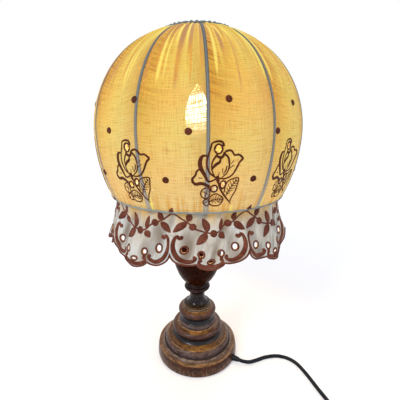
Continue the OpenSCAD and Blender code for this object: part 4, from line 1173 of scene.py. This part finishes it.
def pleat(turn, drop):
    """Small pleats where the skirt is gathered to the ring, in millimetres."""
    ripple = sine(36 * turn + 15 * sine(4 * turn)) + 0.7 * sine(59 * turn + 40)
    return 0.65 * ripple * (1 - smooth_step(4, 34, drop))


def hung_turn(turn):
    """Turn round the lamp of a turn of the skirt's cloth, which spreads at the sides."""
    sway = sine(turn)
    return SCALLOP_TURN + turn + SCALLOP_SPREAD * sway * abs(sway)


def on_skirt(turn, drop, lift):
    """A place on the skirt at a turn of its cloth and a drop below its top, lifted off it, in millimetres."""
    share = min(1.0, max(0.0, drop) / skirt_length(turn))
    radius = SKIRT_R + share * (SKIRT_FLARE + FOLD_DEPTH * skirt_fold(turn))
    radius -= SKIRT_TUCK * math.sin(math.pi * math.sqrt(share))
    radius += pleat(turn, drop) + crumple(turn, drop)
    return around(radius + lift, hung_turn(turn), SKIRT_Z - drop)


def on_vine(x, y, lift, k):
    """A place of the vine's stitches, whose tips pass over the piping and up on the cover."""
    turn = SCALLOP_STEP * k + x / VINE_MM_A_DEGREE
    drop = y * hang(turn) * VINE_SCALE
    if drop < PIPING_TOP_DROP:
        return on_cover(hung_turn(turn), SKIRT_Z - drop, lift + STITCH_SINK)
    over = (PIPING_STAND_OFF - pleat(turn, drop)) * (1 - smooth_step(1.5, 6.0, drop))
    return on_skirt(turn, drop, lift + STITCH_SINK + over)


def skirt_vertex(turn, share):
    drop = share * skirt_length(turn)
    fold = 0.5 * skirt_fold(turn) * share + crumple(turn, drop) + 0.6 * pleat(turn, drop)
    return on_skirt(turn, drop, 0.0), {"drop": drop, "fold": fold}


skirt_turns = [180 + 360 * i / SKIRT_COLUMNS for i in range(SKIRT_COLUMNS)]
skirt_rows = [1 - j / SKIRT_ROWS for j in range(SKIRT_ROWS + 1)]
skirt_step = (math.radians(SKIRT_R * MM), SKIRT_DEEP / SKIRT_ROWS)
skirt = cloth_grid("skirt_cloth", skirt_turns, skirt_rows, skirt_vertex, skirt_step)

for cloth, slot, looks, eyes, lay, node in (
        (cover, "shade_cloth", [shade_cloth, shade_lining], FLOWER_EYES, on_flower, "shade_cover"),
        (skirt, "skirt_cloth", [skirt_cloth, skirt_lining_painted_glow], VINE_EYES, on_vine, "skirt")):
    dress(cloth, *looks)
    thicken(cloth, CLOTH_T)
    pierce(cloth, eyes, lay)
    place_piece(cloth, "shade", slot, looks, node)

flowers = embroider("cover_embroidery", FLOWER, on_flower)
place_piece(flowers, "shade", "skirt_cloth", [thread_painted_dark_against_glow])
vine = embroider("skirt_embroidery", VINE, on_vine)
place_piece(vine, "shade", "skirt_cloth", [thread])

# A thin edging all round the hem

EDGING_R = 1.15
EDGING_IN = 0.75
EDGING_POINTS = SKIRT_COLUMNS * 2

edging_line = []
for i in range(EDGING_POINTS):
    edge_turn = 360 * i / EDGING_POINTS
    edging_line.append(on_skirt(edge_turn, skirt_length(edge_turn) - EDGING_IN, 0.0))
edging = round_curve("skirt_edging", edging_line, EDGING_R, 1)
edging.data.splines[0].use_cyclic_u = True
pick(edging)
bpy.ops.object.convert(target="MESH")
edging = bpy.context.object
bpy.ops.object.shade_smooth()
place_piece(edging, "shade", "skirt_cloth", [thread])

# Frill round the top edge and piping round the bottom edge

FRILL_COLUMNS = 480
FRILL_ROWS = 14
FRILL_H = 2.9
FRILL_W = 5.0
FRILL_T = 0.5
PIPING_RING_R = 130.1
PIPING_Z = 299.6
PIPING_R = 1.15
PIPING_UNEVEN = 0.35


def frill_vertex(turn, row):
    """The frill's section, from its outer foot over the cover's top edge to its inner foot, ruched."""
    wave = sine(40 * turn) + 0.6 * sine(67 * turn + 25)
    lift = cosine(40 * turn) + 0.7 * cosine(53 * turn + 70)
    angle = math.pi * row
    out = FRILL_W * (0.2 + 0.5 * math.cos(angle)) + 0.3 * wave * math.sin(angle)
    up = 0.15 + (FRILL_H + 0.45 * lift) * math.sin(angle) ** 0.7
    radius = RIM_R + out * sine(TOP_RISE) + up * cosine(TOP_RISE)
    height = TOP_Z - out * cosine(TOP_RISE) + up * sine(TOP_RISE)
    return around(radius, turn, height), {}


frill_turns = [360 * i / FRILL_COLUMNS for i in range(FRILL_COLUMNS)]
frill_rows = [j / FRILL_ROWS for j in range(FRILL_ROWS + 1)]
frill_step = (math.radians(RIM_R * MM), 0.001)
frill = cloth_grid("top_frill_cloth", frill_turns, frill_rows, frill_vertex, frill_step)
thicken(frill, FRILL_T)
place_piece(frill, "shade", "frill_cloth", [grey_tape], "top_frill")

deselect_all()
bpy.ops.mesh.primitive_torus_add(
    major_segments=360, minor_segments=10, major_radius=PIPING_RING_R * MM, minor_radius=PIPING_R * MM,
    location=(0, 0, PIPING_Z * MM))
piping = bpy.context.object
piping.name = "bottom_piping"
bpy.ops.object.transform_apply(location=True)
bpy.ops.object.mode_set(mode="EDIT")
bpy.ops.mesh.select_all(action="SELECT")
bpy.ops.transform.vertex_random(offset=PIPING_UNEVEN * MM, uniform=0.0, normal=1.0, seed=3)
bpy.ops.mesh.vertices_smooth(factor=0.4, repeat=1)
bpy.ops.object.mode_set(mode="OBJECT")
bpy.ops.object.shade_smooth()
place_piece(piping, "shade", "frill_cloth", [piping_tape], "bottom_binding")

# Floor, light and background

FLOOR_SIZE = 12.0
FLOOR_WHITE_FROM = 2.5
SKY_LIGHT = 0.34

deselect_all()
bpy.ops.mesh.primitive_plane_add(size=FLOOR_SIZE, location=(0, 0, 0))
floor = bpy.context.object
floor.name = "floor"
pale = Finish("pale_floor", Roughness=0.9, Specular_IOR_Level=0.0, Emission_Color=(0.975, 0.99, 1.07, 1.0))
floor_seen = seen(pale.tree)
from_lamp = pale.object_place().length().spread(0.0, FLOOR_WHITE_FROM)
white_share = from_lamp.ramp(
    (0.05, "#b4b4b4"), (0.12, "#c6c6c6"), (0.2, "#d0d0d0"), (0.48, "#d8d8d8"), (1.0, "#ebebeb"))
pale.set(
    Emission_Strength=floor_seen * white_share,
    Base_Color=floor_seen.ramp((0.0, "#d8d8d8"), (1.0, "#cbcbcb")))
dress(floor, pale)

world = bpy.data.worlds.new("studio")
bpy.context.scene.world = world
world.use_nodes = True
sky = world.node_tree
sky_strength = seen(sky).spread(0.0, 1.0, SKY_LIGHT, 1.0)
feed_all(sky, sky.nodes["Background"], {"Color": "#ffffff", "Strength": sky_strength})

SHADE_MIDDLE = (0, 0, 0.3)
LAMP_MIDDLE = (0, 0, 0.25)


def add_light(name, kind, place, power, colour, **settings):
    lamp = bpy.data.lights.new(name, kind)
    lamp.energy = power
    lamp.color = colour
    for key, value in settings.items():
        setattr(lamp, key, value)
    light = new_object(name, lamp)
    light.location = place
    return light


def soft_light(name, place, target, size, power, colour=(1.0, 1.0, 1.0)):
    light = add_light(name, "AREA", place, power, colour, shape="SQUARE", size=size)
    light.rotation_euler = (Vector(target) - Vector(place)).to_track_quat("-Z", "Y").to_euler()


soft_light("key_light", (-1.1, -1.3, 1.4), LAMP_MIDDLE, 0.55, 21.5, (0.93, 0.97, 1.0))
soft_light("fill_light", (1.4, -0.9, 1.0), LAMP_MIDDLE, 1.2, 8.0)
soft_light("back_light", (0.3, 1.5, 1.5), SHADE_MIDDLE, 1.2, 8.0)
add_light("bulb_light", "POINT", (0.0, 0.0, 0.475), 1.6, (1.0, 0.78, 0.42), shadow_soft_size=0.03)
under_shade = add_light(
    "light_under_shade", "AREA", (0.0, 0.0, 0.335), 0.4, (1.0, 0.76, 0.42), shape="DISK", size=0.18)
under_shade.visible_camera = False
bpy.context.scene.view_settings.view_transform = "Standard"

# Place where the cord leaves the gland, worked out and not kept

around(GLAND_END, CORD_TURN, CORD_HOLE_Z)
